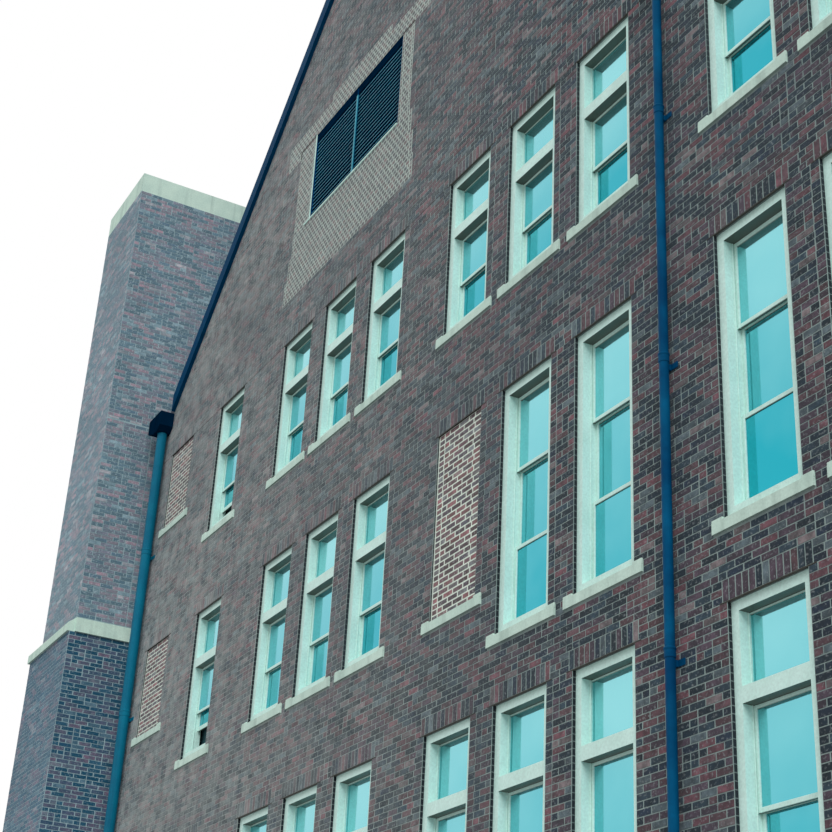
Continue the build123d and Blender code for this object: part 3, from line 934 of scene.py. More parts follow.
@dataclass
class Lintels:
    """Bricks on end over the openings, and the edge of the steel that carries them.

    Heights and depths of steel go by pairs, the lower and inner end first, from the opening's
    head and from the face.
    """

    height: float = 3 * COURSE
    overhang: float = 0.06
    count: int = 13
    joint: float = 0.014
    foot_joint: float = 0.012
    head_joint: float = 0.005
    slack: float = 0.0012
    proud: tuple[float, float] = (0.002, 0.004)
    bevel: float = 0.002
    steel_reach: float = 0.1
    steel_heights: tuple[float, float] = (-0.004, 0.008)
    steel_depths: tuple[float, float] = (-0.02, 0.004)
    line_gap: float = 0.17
    line_heights: tuple[float, float] = (-0.006, 0.004)
    line_depths: tuple[float, float] = (-0.001, 0.003)

    def cut(self, item: Opening) -> Opening:
        """The room that one lintel takes up on the face."""
        return Opening(item.middle, item.head, item.head + self.height, item.width + 2 * self.overhang)

    def add_bricks(self, piece: Piece, face: Face, openings: list[Opening], rng: Random) -> None:
        """Adds the upright bricks, side by side over each opening."""
        zones = [self.cut(opening) for opening in openings]
        pitch = zones[0].width / self.count
        left = np.concatenate([zone.left + pitch * np.arange(self.count) for zone in zones])
        low = np.repeat([zone.sill for zone in zones], self.count)
        slack = rng.uniform(-self.slack, self.slack, (2, len(left)))
        proud = rng.uniform(*self.proud, len(left))
        least = corners_of(left + self.joint / 2 + slack[0], low + self.foot_joint, INTO_WALL)
        high = low + self.height - self.head_joint
        most = corners_of(left + pitch - self.joint / 2 + slack[1], high, proud)
        piece.add_bricks(face, least, most, self.bevel, rng)

    def build_steel(self, openings: list[Opening], finish: Finish) -> None:
        """Makes the steel edges and the dark line that joins the highest ones across the front.

        Args:
            openings: the openings of the half at positive X.
            finish: the steel's finish.
        """
        piece = Piece("lintel_steel")
        for row in (openings, mirrored(openings)):
            left, right, head = np.array([(item.left, item.right, item.head) for item in row]).T
            ends = left - self.steel_reach, right + self.steel_reach
            low, high = (corners_of(end, head + rise, depth)
                         for end, rise, depth in zip(ends, self.steel_heights, self.steel_depths))
            piece.add_boxes(FRONT_FACE, low, high, 0.0015)
        top = sorted((item for item in openings if item.head == HEADS[3]), key=lambda item: item.middle)
        gaps = [edge for item in top for edge in (item.left - self.line_gap, item.right + self.line_gap)]
        near, far = np.array([0.0, *gaps, HALF_FRONT]).reshape(-1, 2).T
        for ends in ((near, far), (-far, -near)):
            low, high = (corners_of(end, HEADS[3] + rise, depth)
                         for end, rise, depth in zip(ends, self.line_heights, self.line_depths))
            piece.add_boxes(FRONT_FACE, low, high, 0.001)
        piece.finish(finish, "pipe_metal")


Member = tuple[Point, Point]


@dataclass(frozen=True)
class Sash:
    """One sash of a window: where its stiles and rails lie and its pane between them."""

    left: float
    right: float
    bottom: float
    top: float
    depth: float
    low_rail: float
    high_rail: float
    stile: float = 0.038
    thickness: float = 0.035
    rail_inset: float = 0.002
    pane_depths: tuple[float, float] = (0.021, 0.015)

    def members(self) -> list[Member]:
        """The two stiles and the two rails."""
        back, front = self.depth - self.thickness, self.depth
        near, far = self.left + self.stile, self.right - self.stile
        stiles = ((self.left, near), (far, self.right))
        found = [((left, self.bottom, back), (right, self.top, front)) for left, right in stiles]
        back, front = back + self.rail_inset, front - self.rail_inset
        rails = ((self.bottom, self.bottom + self.low_rail), (self.top - self.high_rail, self.top))
        return found + [((near, low, back), (far, high, front)) for low, high in rails]

    def pane(self) -> Member:
        """The sheet of glass in the middle of the sash's thickness."""
        back, front = (self.depth - depth for depth in self.pane_depths)
        low = (self.left + self.stile, self.bottom + self.low_rail, back)
        return low, (self.right - self.stile, self.top - self.high_rail, front)


@dataclass(frozen=True)
class Glazing:
    """Everything inside the casing of one window.

    The bar under the fanlight is part of a barred casing and is made here for the others.
    Sashes overlap by twice the lap where they meet.
    """

    opening: Opening
    barred: bool = True
    raised: float = 0.0
    rail: float = 0.045
    bottom_rail: float = 0.07
    lap: float = 0.022
    bead: float = 0.01
    fanlight_bead: float = 0.02
    bar_overlap: float = 0.002

    @property
    def light(self) -> Opening:
        """The room inside the casing."""
        opening = self.opening
        return Opening.between(opening.left + FRAME_FACE, opening.right - FRAME_FACE,
                               opening.sill + FRAME_FACE, opening.head - FRAME_FACE)

    @property
    def bar(self) -> tuple[float, float]:
        """Bottom and top of the bar under the fanlight."""
        top = self.opening.head - BAR_DROPS[HEADS.index(self.opening.head)]
        return top - BAR_HEIGHT, top

    def sashes(self) -> list[Sash]:
        """The sliding sashes from the highest down; a tall window has three and no fanlight."""
        light, head = self.light, self.opening.head
        if self.opening.tall:
            found = ((head - 1.02, light.head, -0.157, self.rail, 0.05),
                     (head - 1.94, head - 0.98, -0.205, self.rail, self.rail),
                     (light.sill, head - 1.90, -0.162, self.bottom_rail, self.rail))
        else:
            meeting = head - MEETING_DROPS[HEADS.index(head)]
            low, high = light.sill + self.raised, meeting + self.lap + self.raised
            found = ((meeting - self.lap, self.bar[0], -0.15, self.rail, 0.035),
                     (low, high, -0.19, self.bottom_rail, self.rail))
        return [Sash(light.left, light.right, *sizes) for sizes in found]

    def members(self) -> list[Member]:
        """Sashes, the beads that hold them and the fanlight's own thin beads."""
        light = self.light
        found = [member for sash in self.sashes() for member in sash.members()]
        for near, far in ((light.left, light.left + self.bead), (light.right - self.bead, light.right)):
            found.append(((near, light.sill, -0.148), (far, light.head, -0.134)))
        if not self.opening.tall:
            low, high = self.bar
            beads = ((high, high + self.fanlight_bead), (light.head - self.fanlight_bead, light.head))
            found += [((light.left, near, -0.163), (light.right, far, -0.15)) for near, far in beads]
            if not self.barred:
                left, right = light.left - self.bar_overlap, light.right + self.bar_overlap
                found.append(((left, low, -0.165), (right, high, -0.04)))
        return found

    def panes(self) -> list[Member]:
        """The three sheets of glass, from the lowest to the highest."""
        light = self.light
        found = [sash.pane() for sash in reversed(self.sashes())]
        if self.opening.tall:
            return found
        return [*found, ((light.left, self.bar[1], -0.171), (light.right, light.head, -0.165))]


@dataclass
class WindowSet:
    """All windows of one front, back or pair of sides: sash joinery and panes."""

    name: str
    walls: list[tuple[Face, list[Glazing]]]
    seed: int

    def build(self, paint: Finish, glass: Finish) -> None:
        """Makes the joinery and the panes, which stand for the plain sheets."""
        rng = np.random.default_rng(self.seed)
        joinery, panes = Piece(f"{self.name}_sashes"), Piece(f"{self.name}_panes")
        for face, glazings in self.walls:
            members = np.array([member for glazing in glazings for member in glazing.members()])
            joinery.add_boxes(face, members[:, 0], members[:, 1], 0.004)
            sheets = np.array([sheet for glazing in glazings for sheet in glazing.panes()])
            # Each pane's level in its window and its rise carry the glass's painted reflection.
            level = np.repeat(np.tile((0.0, 0.5, 1.0), len(glazings)), BOX_POINTS)
            rise = np.tile(RECTANGLE[:, 1], 2 * len(sheets))
            shade = np.repeat(rng.uniform(0, 1, len(sheets)), BOX_POINTS)
            panes.add(face, *tapered_boxes(sheets[:, 0], sheets[:, 1]), rise=rise, level=level, shade=shade)
        joinery.finish(paint, "window_paint")
        panes.finish(glass, "glass", f"{self.name}_glass")


@dataclass(frozen=True)
class LouvreSurround:
    """Short bricks with wide pale joints beside, below and over the vent, as strips of the front."""

    bond: Bond = Bond(pitch=PITCH / 2, bed=0.016, upright=0.026, split=0.0, shortest=0.05)
    left: float = 5.95
    right: float = 9.85
    band: tuple[float, float, float] = (5.5, 10.35, 258 * COURSE)
    raised: tuple[float, float, float] = (6.72, 8.75, 260 * COURSE)
    drop: float = 251 * COURSE
    apron: tuple[tuple[float, ...], ...] = (
        (5.87, 9.87, 223 * COURSE, LOUVRE.sill), (5.80, 9.95, 217 * COURSE, 223 * COURSE),
        (5.76, 10.03, 211 * COURSE, 217 * COURSE))
    shadow_heights: tuple[float, float] = (-0.018, 0.010)
    drop_shadow: tuple[float, float] = (9.841, 9.860)
    mortar_proud: float = 0.0015
    shadow_proud: float = 0.0055

    def strips(self) -> list[Opening]:
        """Both sides, the band over the vent with its drop and its raised middle, and the apron."""
        sill, head, (near, far, top) = LOUVRE.sill, LOUVRE.head, self.band
        left, right, raised = self.raised
        spans = ((self.left, LOUVRE.left, sill, head), (LOUVRE.right, self.right, sill, head),
                 (near, far, head, top), (self.right, far, self.drop, head), (left, right, top, raised))
        return [Opening.between(*span) for span in spans + self.apron]

    def gaps(self) -> list[Opening]:
        """Dark strips of painted shadow in the joints under the band on both sides of the vent, and beside the
        band's drop.
        """
        low, high = (LOUVRE.head + rise for rise in self.shadow_heights)
        return [Opening.between(self.left, LOUVRE.left, low, high),
                Opening.between(LOUVRE.right, self.right, low, high),
                Opening.between(*self.drop_shadow, self.drop, LOUVRE.head)]

    def build(self, brick: Finish, mortar: Finish, shadow: Finish) -> None:
        """Makes the surround's bricks, the pale mortar between them and dark strips of painted shadow in the
        gaps at its band.
        """
        rng = np.random.default_rng(31)
        bricks, beds, gaps = (Piece(f"louvre_surround_{part}") for part in ("bricks", "mortar", "gaps"))
        sheets = ((beds, self.strips(), self.mortar_proud), (gaps, self.gaps(), self.shadow_proud))
        for mirror in (False, True):
            for strip in self.strips():
                laid = BrickField(self.bond, strip.left, strip.right, strip.sill, strip.head)
                laid.add_to(bricks, FRONT_FACE, rng, mirror)
            for piece, row, proud in sheets:
                for item in mirrored(row) if mirror else row:
                    low, high = (item.left, item.sill, INTO_WALL), (item.right, item.head, proud)
                    piece.add(FRONT_FACE, *tapered_boxes(np.array(low), np.array(high)))
        for piece, finish in ((bricks, brick), (beds, mortar), (gaps, shadow)):
            piece.finish(finish, "brick")


@dataclass
class Brickwork:
    """Separate bricks over the front and in its bricked-up openings."""

    bond: Bond
    blind_bond: Bond
    lintels: Lintels
    surround: LouvreSurround
    openings: list[Opening] = field(default_factory=lambda: front_openings() + blind_openings())
    blind_depth: float = 0.02
    blind_edge: float = 0.016

    def cuts(self) -> list[Opening]:
        """Room for openings, their sills and lintels and the louvre with its surround."""
        sills = [Opening(item.middle, item.sill - SILL_HEIGHT, item.sill, item.width + 2 * SILL_OVERLAP)
                 for item in self.openings]
        lintels = [self.lintels.cut(item) for item in self.openings]
        return self.openings + sills + lintels + [LOUVRE, *self.surround.strips()]

    def build_front(self, finish: Finish) -> None:
        """Makes each half of the front as one piece; the right one takes in the front wall's end."""
        for name, mirror, seed in (("left", True, 11), ("right", False, 12)):
            rng = np.random.default_rng(seed)
            piece = Piece(f"front_bricks_{name}")
            lap = self.bond.pitch / 2 * (1 if mirror else -1) + 0.0005
            whole = BrickField(self.bond, -self.bond.pitch, HALF_FRONT, 0.0, APEX, self.cuts(),
                               lapped_edges(lap))
            whole.add_to(piece, FRONT_FACE, rng, mirror)
            if not mirror:
                end = BrickField(self.bond, -HALF_DEPTH, WALL - HALF_DEPTH, 0.0, SHOULDER)
                end.add_to(piece, RIGHT_FACE, rng)
            openings = mirrored(self.openings) if mirror else self.openings
            self.lintels.add_bricks(piece, FRONT_FACE, openings, rng)
            piece.finish(finish, "brick")

    def build_blind(self, finish: Finish) -> None:
        """Makes the bricks that close former windows, a little behind the wall's face."""
        rng = np.random.default_rng(21)
        piece, edge = Piece("infill_bricks"), self.blind_edge
        panel = replace(FRONT_FACE, origin=(0.0, self.blind_depth - HALF_DEPTH, 0.0))
        for item, mirror in product(blind_openings(), (False, True)):
            inner = BrickField(self.blind_bond, item.left + edge, item.right - edge, item.sill, item.head)
            inner.add_to(piece, panel, rng, mirror)
        piece.finish(finish, "infill_brick")


@dataclass
class Sills:
    """Lugs at both ends of the front's stone sills, on which the jambs stand.

    A lug reaches past the sill's end by the overlap, so that no two faces share a plane.
    """

    lug: float = SILL_OVERLAP
    overlap: float = 0.002
    depth: float = 0.04
    rise: float = 0.018
    proud: float = 0.024

    def build(self, finish: Finish) -> None:
        """Makes two lugs a sill, level on top where the sill slopes."""
        piece = Piece("sill_lugs")
        half = front_openings() + blind_openings()
        openings = half + mirrored(half)
        ends = [(item.left - self.lug - self.overlap, item.left, item.sill) for item in openings]
        ends += [(item.right, item.right + self.lug + self.overlap, item.sill) for item in openings]
        left, right, top = np.array(ends).T
        low, high = corners_of(left, top - self.depth, 0.0), corners_of(right, top + self.rise, self.proud)
        piece.add_boxes(FRONT_FACE, low, high, 0.004)
        piece.finish(finish, "pale_stone")


@dataclass
class RoomShadeSheets:
    """Dark sheets behind the front's raised sashes, inside the wall, as painted shade of the room beyond."""

    depth: float = 0.30
    thickness: float = 0.01

    def build(self, finish: Finish) -> None:
        """Makes one dark sheet of painted shade behind each raised sash."""
        piece = Piece("room_shade_sheets")
        open_sashes = [item for item in mirrored(front_openings()) if raised_sash(item)]
        low = np.array([(item.left, item.sill, -self.depth - self.thickness) for item in open_sashes])
        high = np.array([(item.right, item.head, -self.depth) for item in open_sashes])
        piece.add(FRONT_FACE, *tapered_boxes(low, high))
        piece.finish(finish, "window_paint")


@dataclass
class LouvreTrim:
    """Lips on the blades painted bright as a highlight, the bar's cover, the sill strip, left edge and a dark
    sheet of painted shadow on the head of both vents.
    """

    blades: int = 20
    low: float = LOUVRE.sill + 0.03
    high: float = LOUVRE.head - 0.13
    first_lip: float = 0.015

    def build(self, lips: Finish, bar: Finish, edge: Finish, dark: Finish) -> None:
        """Makes the blades' lips and the trim round them; the dark sheets on the heads are painted shadow.

        A span is a left and a right end from the vent's middle, two heights and two depths.
        """
        sill, head = LOUVRE.sill, LOUVRE.head
        foot = self.low + self.first_lip + (self.high - self.low) / self.blades * np.arange(self.blades)
        spans = {
            # Painted highlight: the blades' lips are a brighter copy of the louvre's blue.
            "lips": (lips, 0.002, ((-1.458, -0.016, foot + 0.002, foot + 0.014, -0.03, -0.021),
                                   (0.016, 1.458, foot + 0.002, foot + 0.014, -0.03, -0.021))),
            "bars": (bar, 0.003, ((-0.022, 0.022, self.low, head - 0.16, -0.012, 0.002),)),
            "trim": (edge, 0.003, ((-1.66, 1.48, sill - 0.008, sill + 0.026, -0.002, 0.018),
                                   (-1.494, -1.464, sill, head, -0.006, 0.008))),
            # Painted shadow: dark sheets over the head rail, in the shade of the band above.
            "heads": (dark, 0.002, ((-1.455, 1.455, self.high - 0.01, head - 0.034, -0.034, -0.012),
                                    (-1.48, 1.48, head - 0.028, head - 0.002, -0.01, -0.002))),
        }
        for name, (finish, chamfer, rows) in spans.items():
            piece = Piece(f"louvre_{name}")
            for middle, span in product((-GABLE_CENTRE, GABLE_CENTRE), rows):
                left, right, bottom, top, back, front = span
                low, high = corners_of(middle + left, bottom, back), corners_of(middle + right, top, front)
                piece.add_boxes(FRONT_FACE, low, high, chamfer)
            piece.finish(finish, "louvre_metal")


class Side(Enum):
    """Sides of the chimney stack, each by the way it runs in X and Y as seen from outside."""

    FRONT = (1.0, 0.0)
    RIGHT = (0.0, 1.0)
    BACK = (-1.0, 0.0)
    LEFT = (0.0, -1.0)


@dataclass(frozen=True)
class Stack:
    """One length of the chimney stack, which stands against the left side wall.

    The strip is how much of its right side shows in front of the wall, up to the gutter.
    """

    name: str
    left: float
    front: float
    back: float
    bottom: float
    top: float
    strip: float
    right: float = -HALF_FRONT

    def side(self, side: Side) -> tuple[Face, float]:
        """One side as a face that starts at its left corner, and its width."""
        x = self.right if side in (Side.RIGHT, Side.BACK) else self.left
        y = self.back if side in (Side.BACK, Side.LEFT) else self.front
        width = self.right - self.left if side in (Side.FRONT, Side.BACK) else self.back - self.front
        return Face((x, y, 0.0), (*side.value, 0.0)), width

    def build(self, bond: Bond, finish: Finish, seed: int) -> None:
        """Bricks every open side; beside the wall that is only the strip."""
        rng = np.random.default_rng(seed)
        piece = Piece(self.name)
        for side in (Side.FRONT, Side.LEFT, Side.BACK):
            face, width = self.side(side)
            BrickField(bond, 0.0, width, self.bottom, self.top).add_to(piece, face, rng)
        face, width = self.side(Side.RIGHT)
        BrickField(bond, 0.0, self.strip, self.bottom, min(self.top, GUTTER_TOP)).add_to(piece, face, rng)
        if self.top > GUTTER_TOP:
            BrickField(bond, 0.0, width, GUTTER_TOP, self.top).add_to(piece, face, rng)
        piece.finish(finish, "chimney_brick")


@dataclass
class Chimney:
    """Bricks of the stack below and above its stone band."""

    bond: Bond
    base: Stack = Stack("chimney_base_bricks", -17.92, -8.60, -5.92, 0.0, 10.488, 1.10)
    shaft: Stack = Stack("chimney_shaft_bricks", -17.59, -8.51, -6.01, 10.738, 19.665, 1.01)

    def build(self, base: Finish, shaft: Finish) -> None:
        """Makes the lower and the upper stack."""
        self.base.build(self.bond, base, 41)
        self.shaft.build(self.bond, shaft, 42)


@dataclass
class Pipes:
    """Collars where lengths of the pipes join, just over each bracket.

    A pipe goes by its X and its radius, and the collar's outline by its reach out from the pipe
    and its height over its foot.
    """

    corner: tuple[tuple[float, float], ...] = ((-14.98, 0.0875), (14.98, 0.0875))
    middle: tuple[tuple[float, float], ...] = ((-0.04, 0.0475),)
    brackets: tuple[float, ...] = tuple(0.20 + 2.91 * number for number in range(5))
    over_bracket: float = 0.07
    wall_gap: float = 0.03
    collar: tuple[tuple[float, float], ...] = (
        (0.002, 0.0), (0.006, 0.004), (0.006, 0.07), (0.010, 0.076), (0.011, 0.088),
        (0.007, 0.096), (0.001, 0.1), (-0.006, 0.097), (-0.006, 0.002))

    def build(self, corner: Finish, middle: Finish) -> None:
        """Makes the collars of the corner pipes and of the middle pipe, each with a bead at its top."""
        for name, finish, pipes in (("corner", corner, self.corner), ("middle", middle, self.middle)):
            piece = Piece(f"{name}_collars")
            for (x, radius), bracket in product(pipes, self.brackets):
                profile = np.array(self.collar) + (radius, bracket + self.over_bracket)
                piece.add(None, *revolved(profile, (x, -HALF_DEPTH - self.wall_gap - radius)))
            piece.finish(finish, "pipe_metal")


@dataclass
class Slates:
    """Slates on the four slopes, each course thick at its lower edge."""

    width: float = 0.3
    exposure: float = 0.25
    thickness: float = 0.014
    joint: float = 0.004
    lap: float = 0.01
    sunk: float = 0.001
    shortest: float = 0.03
    drop: float = 0.004
    uneven: float = 0.002
    valley: float = 0.62
    ridge: float = 0.1

    def slope(self, ridge: float, foot: float) -> Face:
        """The top of the slope between a ridge and a foot, with u = 0 in the middle of its length."""
        run = math.hypot(1.0, SLOPE)
        side = math.copysign(1.0, ridge - foot)
        height = EAVES + (GABLE_CENTRE - abs(abs(foot) - GABLE_CENTRE)) * SLOPE + ROOF_RISE
        return Face((foot, 0.0, height), (0.0, -side, 0.0), (side / run, 0.0, SLOPE / run))

    def build(self, finish: Finish) -> None:
        """Makes one piece a pair of slopes, bare along the valley and under the ridge caps."""
        for name, side in (("left", -1), ("right", 1)):
            piece = Piece(f"roof_slates_{name}")
            rng = np.random.default_rng(50 + side)
            for foot, start in ((side * ROOF_FOOT, 0.0), (0.0, self.valley)):
                length = math.hypot(1.0, SLOPE) * abs(abs(foot) - GABLE_CENTRE)
                self.cover(piece, self.slope(side * GABLE_CENTRE, foot), start, length - self.ridge, rng)
            piece.finish(finish, "roof_slate")

    def cover(self, piece: Piece, face: Face, start: float, length: float, rng: Random) -> None:
        """Lays the courses of one slope, every second one shifted by half a slate.

        Slate k of course n runs from (k + (n mod 2) / 2) * width, cut at the slope's ends.

        Args:
            piece: the piece that takes them.
            face: the slope.
            start: how far up the slope the first course starts.
            length: how far up the slope the last one may reach.
            rng: the source of their unevenness.
        """
        course = np.arange(int((length - start) / self.exposure) + 1)[:, None]
        half = math.ceil(HALF_DEPTH / self.width) + 2
        left = (np.arange(-half, half)[None] + 0.5 * (course % 2)) * self.width
        near, far = np.clip(np.stack([left, left + self.width]), -HALF_DEPTH, HALF_DEPTH)
        keep = far - near > self.shortest
        near, far = near[keep] + self.joint / 2, far[keep] - self.joint / 2
        low = np.broadcast_to(start + course * self.exposure, left.shape)[keep]
        drop = rng.uniform(-self.drop, self.drop, len(low))
        least = corners_of(near, np.maximum(low + drop, start), -self.sunk)
        thickness = self.thickness + rng.uniform(-self.uneven, self.uneven, len(low))
        most = corners_of(far, np.minimum(low + self.exposure + self.lap, length), thickness)
        tone = np.repeat(rng.uniform(0, 1, len(low)), BOX_POINTS)
        piece.add(face, *tapered_boxes(least, most, 0.0, self.thickness * 0.75), tone=tone)


@dataclass
class Doors:
    """Rails and handles of the pair of side doors, on leaves whose panels lie at the plane."""

    plane: float = -0.125
    gap: float = 0.012
    stile: float = 0.11
    stile_proud: float = 0.02
    rail_proud: float = 0.019
    rails: tuple[tuple[float, float], ...] = ((0.15, 0.37), (1.0, 1.14), (1.76, 1.9), (2.46, 2.6))
    handle: float = 0.07
    handle_half: float = 0.012
    handle_parts: tuple[tuple[float, ...], ...] = (
        (1.1, 1.4, 0.05, 0.07), (1.12, 1.14, 0.018, 0.055), (1.36, 1.38, 0.018, 0.055))

    def build(self, paint: Finish, metal: Finish) -> None:
        """Makes the raised members of both leaves and their pull handles, a bar on two posts."""
        members, handles = Piece("door_rails"), Piece("door_handles")
        low_rail, high_rail = np.array(self.rails).T
        low, high, back, front = np.array(self.handle_parts).T
        for side in (-1, 1):
            near, far = sorted((side * self.gap, side * SIDE_DOOR.right))
            inner, outer = near + self.stile, far - self.stile
            left, right = np.array((near, outer)), np.array((inner, far))
            front_of_stile = self.plane + self.stile_proud
            members.add_boxes(RIGHT_FACE, corners_of(left, SIDE_DOOR.sill, self.plane),
                              corners_of(right, SIDE_DOOR.head, front_of_stile), 0.005)
            members.add_boxes(RIGHT_FACE, corners_of(inner, low_rail, self.plane),
                              corners_of(outer, high_rail, self.plane + self.rail_proud), 0.005)
            grip = side * self.handle
            handles.add_boxes(RIGHT_FACE, corners_of(grip - self.handle_half, low, self.plane + back),
                              corners_of(grip + self.handle_half, high, self.plane + front), 0.004)
        members.finish(paint, "door_paint")
        handles.finish(metal, "pipe_metal")


class Studio:
    """Plain pale floor, soft light and the camera at the photograph's viewing angle."""

    PLACE = (10.759, -15.776, 1.577)
    RIGHT = (0.48192, 0.87477, 0.05054)
    UP = (0.37201, -0.25648, 0.89210)
    BACK = (0.79333, -0.41112, -0.44902)
    LENS = 69.93
    SENSOR = 36.0
    REACH = 500.0
    FLOOR_HALF = 150
    SUN_STRENGTH = 2.0
    SUN_WIDTH = math.radians(40)
    SUN_TURN = (math.radians(45), 0.0, math.radians(58))
    WORLD_LIGHT = 0.5

    def build(self) -> None:
        """Makes the camera, the floor, the sun and the surrounding white."""
        self.add_camera()
        self.add_floor()
        self.add_sun()
        self.add_world()
        bpy.context.scene.view_settings.view_transform = "Standard"

    def add_camera(self) -> None:
        """Places the camera; its axes and its place are the columns of its matrix."""
        camera = bpy.data.objects.new("camera", bpy.data.cameras.new("camera"))
        camera.data.lens, camera.data.sensor_width = self.LENS, self.SENSOR
        camera.data.clip_end = self.REACH
        columns = np.eye(4)
        columns[:3] = np.column_stack([self.RIGHT, self.UP, self.BACK, self.PLACE])
        camera.matrix_world = Matrix(columns.tolist())
        bpy.context.scene.collection.objects.link(camera)
        bpy.context.scene.camera = camera

    def add_floor(self) -> None:
        """Adds a level pale floor far wider than the building."""
        half = self.FLOOR_HALF
        mesh = bpy.data.meshes.new("floor")
        corners = [(-half, -half, 0), (half, -half, 0), (half, half, 0), (-half, half, 0)]
        mesh.from_pydata(corners, [], [(0, 1, 2, 3)])
        pale = bpy.data.materials.new("floor")
        pale.use_nodes = True
        surface = pale.node_tree.nodes["Principled BSDF"].inputs
        surface["Base Color"].default_value = linear(236, 236, 236)
        surface["Roughness"].default_value = 0.9
        mesh.materials.append(pale)
        floor = bpy.data.objects.new("floor", mesh)
        floor.visible_diffuse = False
        bpy.context.scene.collection.objects.link(floor)

    def add_sun(self) -> None:
        """Adds a wide soft sun from the front right, high up."""
        sun = bpy.data.lights.new("sun", "SUN")
        sun.energy, sun.angle = self.SUN_STRENGTH, self.SUN_WIDTH
        lamp = bpy.data.objects.new("sun", sun)
        lamp.visible_glossy = False
        lamp.rotation_euler = self.SUN_TURN
        bpy.context.scene.collection.objects.link(lamp)

    def add_world(self) -> None:
        """Surrounds the scene with white: full for camera, gloss and see-through rays, less as light."""
        world = bpy.data.worlds.new("studio")
        world.use_nodes = True
        bpy.context.scene.world = world
        nodes = Nodes(world.node_tree)
        rays = nodes.add("LightPath").outputs
        seen = nodes.calc("MAXIMUM", rays["Is Camera Ray"], rays["Is Glossy Ray"])
        seen = nodes.calc("MAXIMUM", seen, rays["Is Transmission Ray"])
        background = world.node_tree.nodes["Background"].inputs
        nodes.feed(background["Color"], linear(255, 255, 255))
        nodes.feed(background["Strength"], nodes.band(seen, 0.0, 1.0, self.WORLD_LIGHT, 1.0))


# Finishes; a coat's three colours are its main one, its second one and the one for its stains and its painted
# shade on undersides
# Share of painted light towards the ends of the walls.
PAINTED_LIGHT_SHARE = 0.36
FRONT_BRICK = Brick("front_brick", painted_end_light=PAINTED_LIGHT_SHARE)
INFILL_BRICK = Brick("infill_brick", gain=1.7, pale=(150, 104, 90), lift=0.25, soot_share=0.1)
SURROUND_BRICK = Brick("surround_brick", gain=1.2, pale=(150, 146, 142), lift=0.4, soot_share=0.2)
# The stack above its band is lifted far paler than its base: partly its own colour, partly painted sunlight.
LIT_SHAFT_BRICK = Brick("shaft_brick", gain=2.7, pale=(142, 178, 194), lift=0.42)
BASE_BRICK = Brick("base_brick", gain=1.5, pale=(34, 116, 152), lift=0.38)
BACK_WALL = CoursedWall("back_wall", painted_end_light=PAINTED_LIGHT_SHARE)
SIDE_WALL = CoursedWall("side_wall", across_x=False, painted_end_light=PAINTED_LIGHT_SHARE)
MORTAR = WallBed("mortar", (152, 170, 166), (104, 122, 124), (44, 56, 64))
CHIMNEY_MORTAR = Mortar("chimney_mortar", (164, 190, 196), (120, 150, 160), (48, 66, 80))
PALE_MORTAR = Coat("pale_mortar", (236, 248, 236), (206, 222, 210), (110, 124, 122),
                   streak_share=0.1, soot_share=0.1, relief=0.003, roughness=0.95)
SURROUND_MORTAR = Coat("surround_mortar", (190, 206, 198), (158, 170, 166), (104, 114, 112),
                       streak_share=0.1, soot_share=0.1, relief=0.003, roughness=0.95)
# The undersides of the casings, the sills and the stack's stone are darkened as painted shade.
CASING_PAINT = Coat("window_paint", (212, 246, 238), (196, 234, 224), (40, 38, 24),
                    streak_share=0.05, soot_share=0.03, underside_shade=0.93, relief=0.0008, roughness=0.42)
SILL_STONE = Coat("sill_stone", (208, 234, 222), (184, 212, 200), (84, 100, 96),
                  streak_share=0.25, soot_share=0.1, underside_shade=0.7, relief=0.003, roughness=0.85)
STACK_STONE = Coat("stack_stone", (210, 236, 222), (184, 214, 204), (96, 120, 120),
                   soot_share=0.15, underside_shade=0.6, relief=0.004, roughness=0.9)
TEAL_METAL = Metal("corner_pipe_paint", (0, 112, 140), (0, 90, 122), (0, 40, 66), roughness=0.45, gloss=0.2)
NAVY_METAL = Metal("pipe_paint", (0, 62, 102), (8, 104, 146), (0, 34, 66),
                   second_share=0.6, scale=0.4, gloss=0.06)
VERGE_METAL = Metal("verge_paint", (0, 64, 100), (0, 50, 86), (0, 30, 56), gloss=0.02)
LOUVRE_METAL = Metal("louvre_paint", (0, 60, 108), (0, 48, 92), (0, 22, 46), roughness=0.55, gloss=0.0)
# Dark blue of the rainwater heads, also painted as shadow over the louvres' head rails.
HEAD_AND_SHADOW_METAL = Metal("dark_blue_paint", (2, 34, 60), (2, 24, 44), (0, 12, 24), roughness=0.6, gloss=0.0)
# A brighter copy of the louvre's blue, painted as a highlight on the blades' lips.
LIT_LIP_METAL = Metal("louvre_lit_lip", (50, 156, 186), (34, 126, 160), (6, 60, 96))
BAR_METAL = Metal("louvre_bar", (44, 160, 182), (30, 132, 158), (8, 60, 84))
TRIM_METAL = Metal("louvre_trim", (206, 240, 230), (170, 214, 208), (80, 110, 112),
                   streak_share=0.1, soot_share=0.1)
# Dark steel of the lintels, also laid as painted shadow in the gaps at the louvre surround's band.
DARK_STEEL_AND_SHADOW = Metal("lintel_steel", (52, 50, 44), (38, 38, 36), (18, 22, 24), roughness=0.75)
LEAD = Metal("lead", (120, 126, 132), (98, 104, 112), (70, 74, 80), roughness=0.55)
SLATE = Coat("slate", (92, 98, 112), (76, 82, 96), (50, 56, 62), toned=0.22, roughness=0.62)
CONCRETE = Coat("concrete", (158, 158, 152), (140, 140, 136), (104, 104, 100), relief=0.003, roughness=0.9)
DOOR_PAINT = Coat("door_paint", (20, 70, 86), (16, 58, 74), (12, 40, 54), relief=0.0006, roughness=0.35)
# Dark teal sheet standing in for the shaded room behind the raised sashes, as painted shade.
ROOM_SHADE = Coat("room_shade", (40, 84, 92), (30, 68, 78), (12, 34, 40), roughness=0.9)
GLASS = PaneGlass("pane_glass")


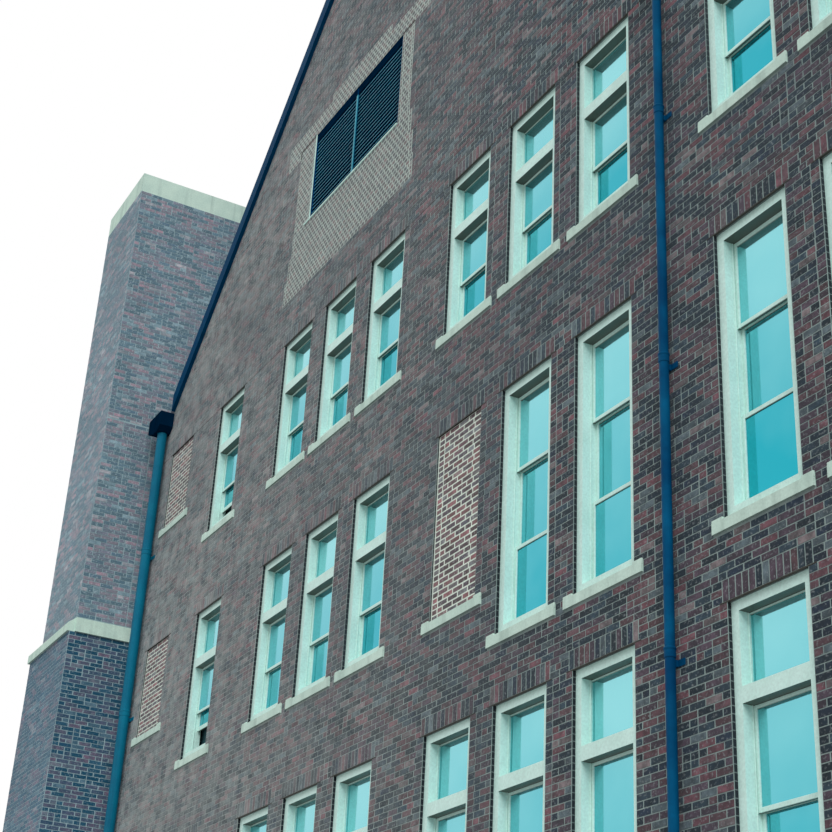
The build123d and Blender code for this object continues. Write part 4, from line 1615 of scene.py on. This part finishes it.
@dataclass
class Dressing:
    """Finishes of the building's own nodes, by a part of their names."""

    finishes: dict[str, Finish]

    def apply(self) -> None:
        """Gives each node the finish of the longest name part that it holds."""
        for name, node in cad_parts.items():
            part = max((part for part in self.finishes if part in name), key=len)
            made = self.finishes[part].material()
            if not node.data.materials:
                node.data.materials.append(made)
            for place in node.material_slots:
                place.material = made
            LOG.info("%s: %s", name, made.name)


def main() -> None:
    """Builds every piece, dresses the building's own nodes and sets up the studio."""
    logging.basicConfig(level=logging.INFO, format="%(message)s")
    Studio().build()
    Dressing({
        "front_wall": MORTAR, "back_wall": BACK_WALL, "side_wall": SIDE_WALL, "floor": CONCRETE,
        "windows": CASING_PAINT, "glass": GLASS, "sills": SILL_STONE, "bricked_up_windows": PALE_MORTAR,
        "chimney": CHIMNEY_MORTAR, "chimney_band": STACK_STONE, "chimney_coping": STACK_STONE,
        "downspout": TEAL_METAL, "middle_downspout": NAVY_METAL, "gutter": VERGE_METAL, "verge": VERGE_METAL,
        "rainwater_heads": HEAD_AND_SHADOW_METAL, "louvre": LOUVRE_METAL, "roof": SLATE, "ridge_caps": LEAD,
        "valley_gutter": LEAD, "side_doors": DOOR_PAINT,
    }).apply()
    bond, lintels, surround = Bond(), Lintels(), LouvreSurround()
    work = Brickwork(bond, Bond(bed=0.018, upright=0.024, split=0.0), lintels, surround)
    work.build_front(FRONT_BRICK)
    lintels.build_steel(work.openings, DARK_STEEL_AND_SHADOW)
    work.build_blind(INFILL_BRICK)
    surround.build(SURROUND_BRICK, SURROUND_MORTAR, DARK_STEEL_AND_SHADOW)
    LouvreTrim().build(LIT_LIP_METAL, BAR_METAL, TRIM_METAL, HEAD_AND_SHADOW_METAL)
    Sills().build(SILL_STONE)
    RoomShadeSheets().build(ROOM_SHADE)
    Chimney(bond).build(BASE_BRICK, LIT_SHAFT_BRICK)
    Pipes().build(TEAL_METAL, NAVY_METAL)
    Slates().build(SLATE)
    Doors().build(DOOR_PAINT, LEAD)
    openings = front_openings()
    front = [Glazing(item, raised=raised_sash(item)) for item in openings + mirrored(openings)]
    back = [replace(glazing, barred=False, raised=0.0) for glazing in front]
    sides = [Glazing(item, barred=False) for item in side_openings()]
    WindowSet("front", [(FRONT_FACE, front)], 61).build(CASING_PAINT, GLASS)
    WindowSet("back", [(BACK_FACE, back)], 62).build(CASING_PAINT, GLASS)
    WindowSet("side", [(LEFT_FACE, sides), (RIGHT_FACE, sides)], 63).build(CASING_PAINT, GLASS)
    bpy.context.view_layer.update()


if __name__ == "__main__":
    main()
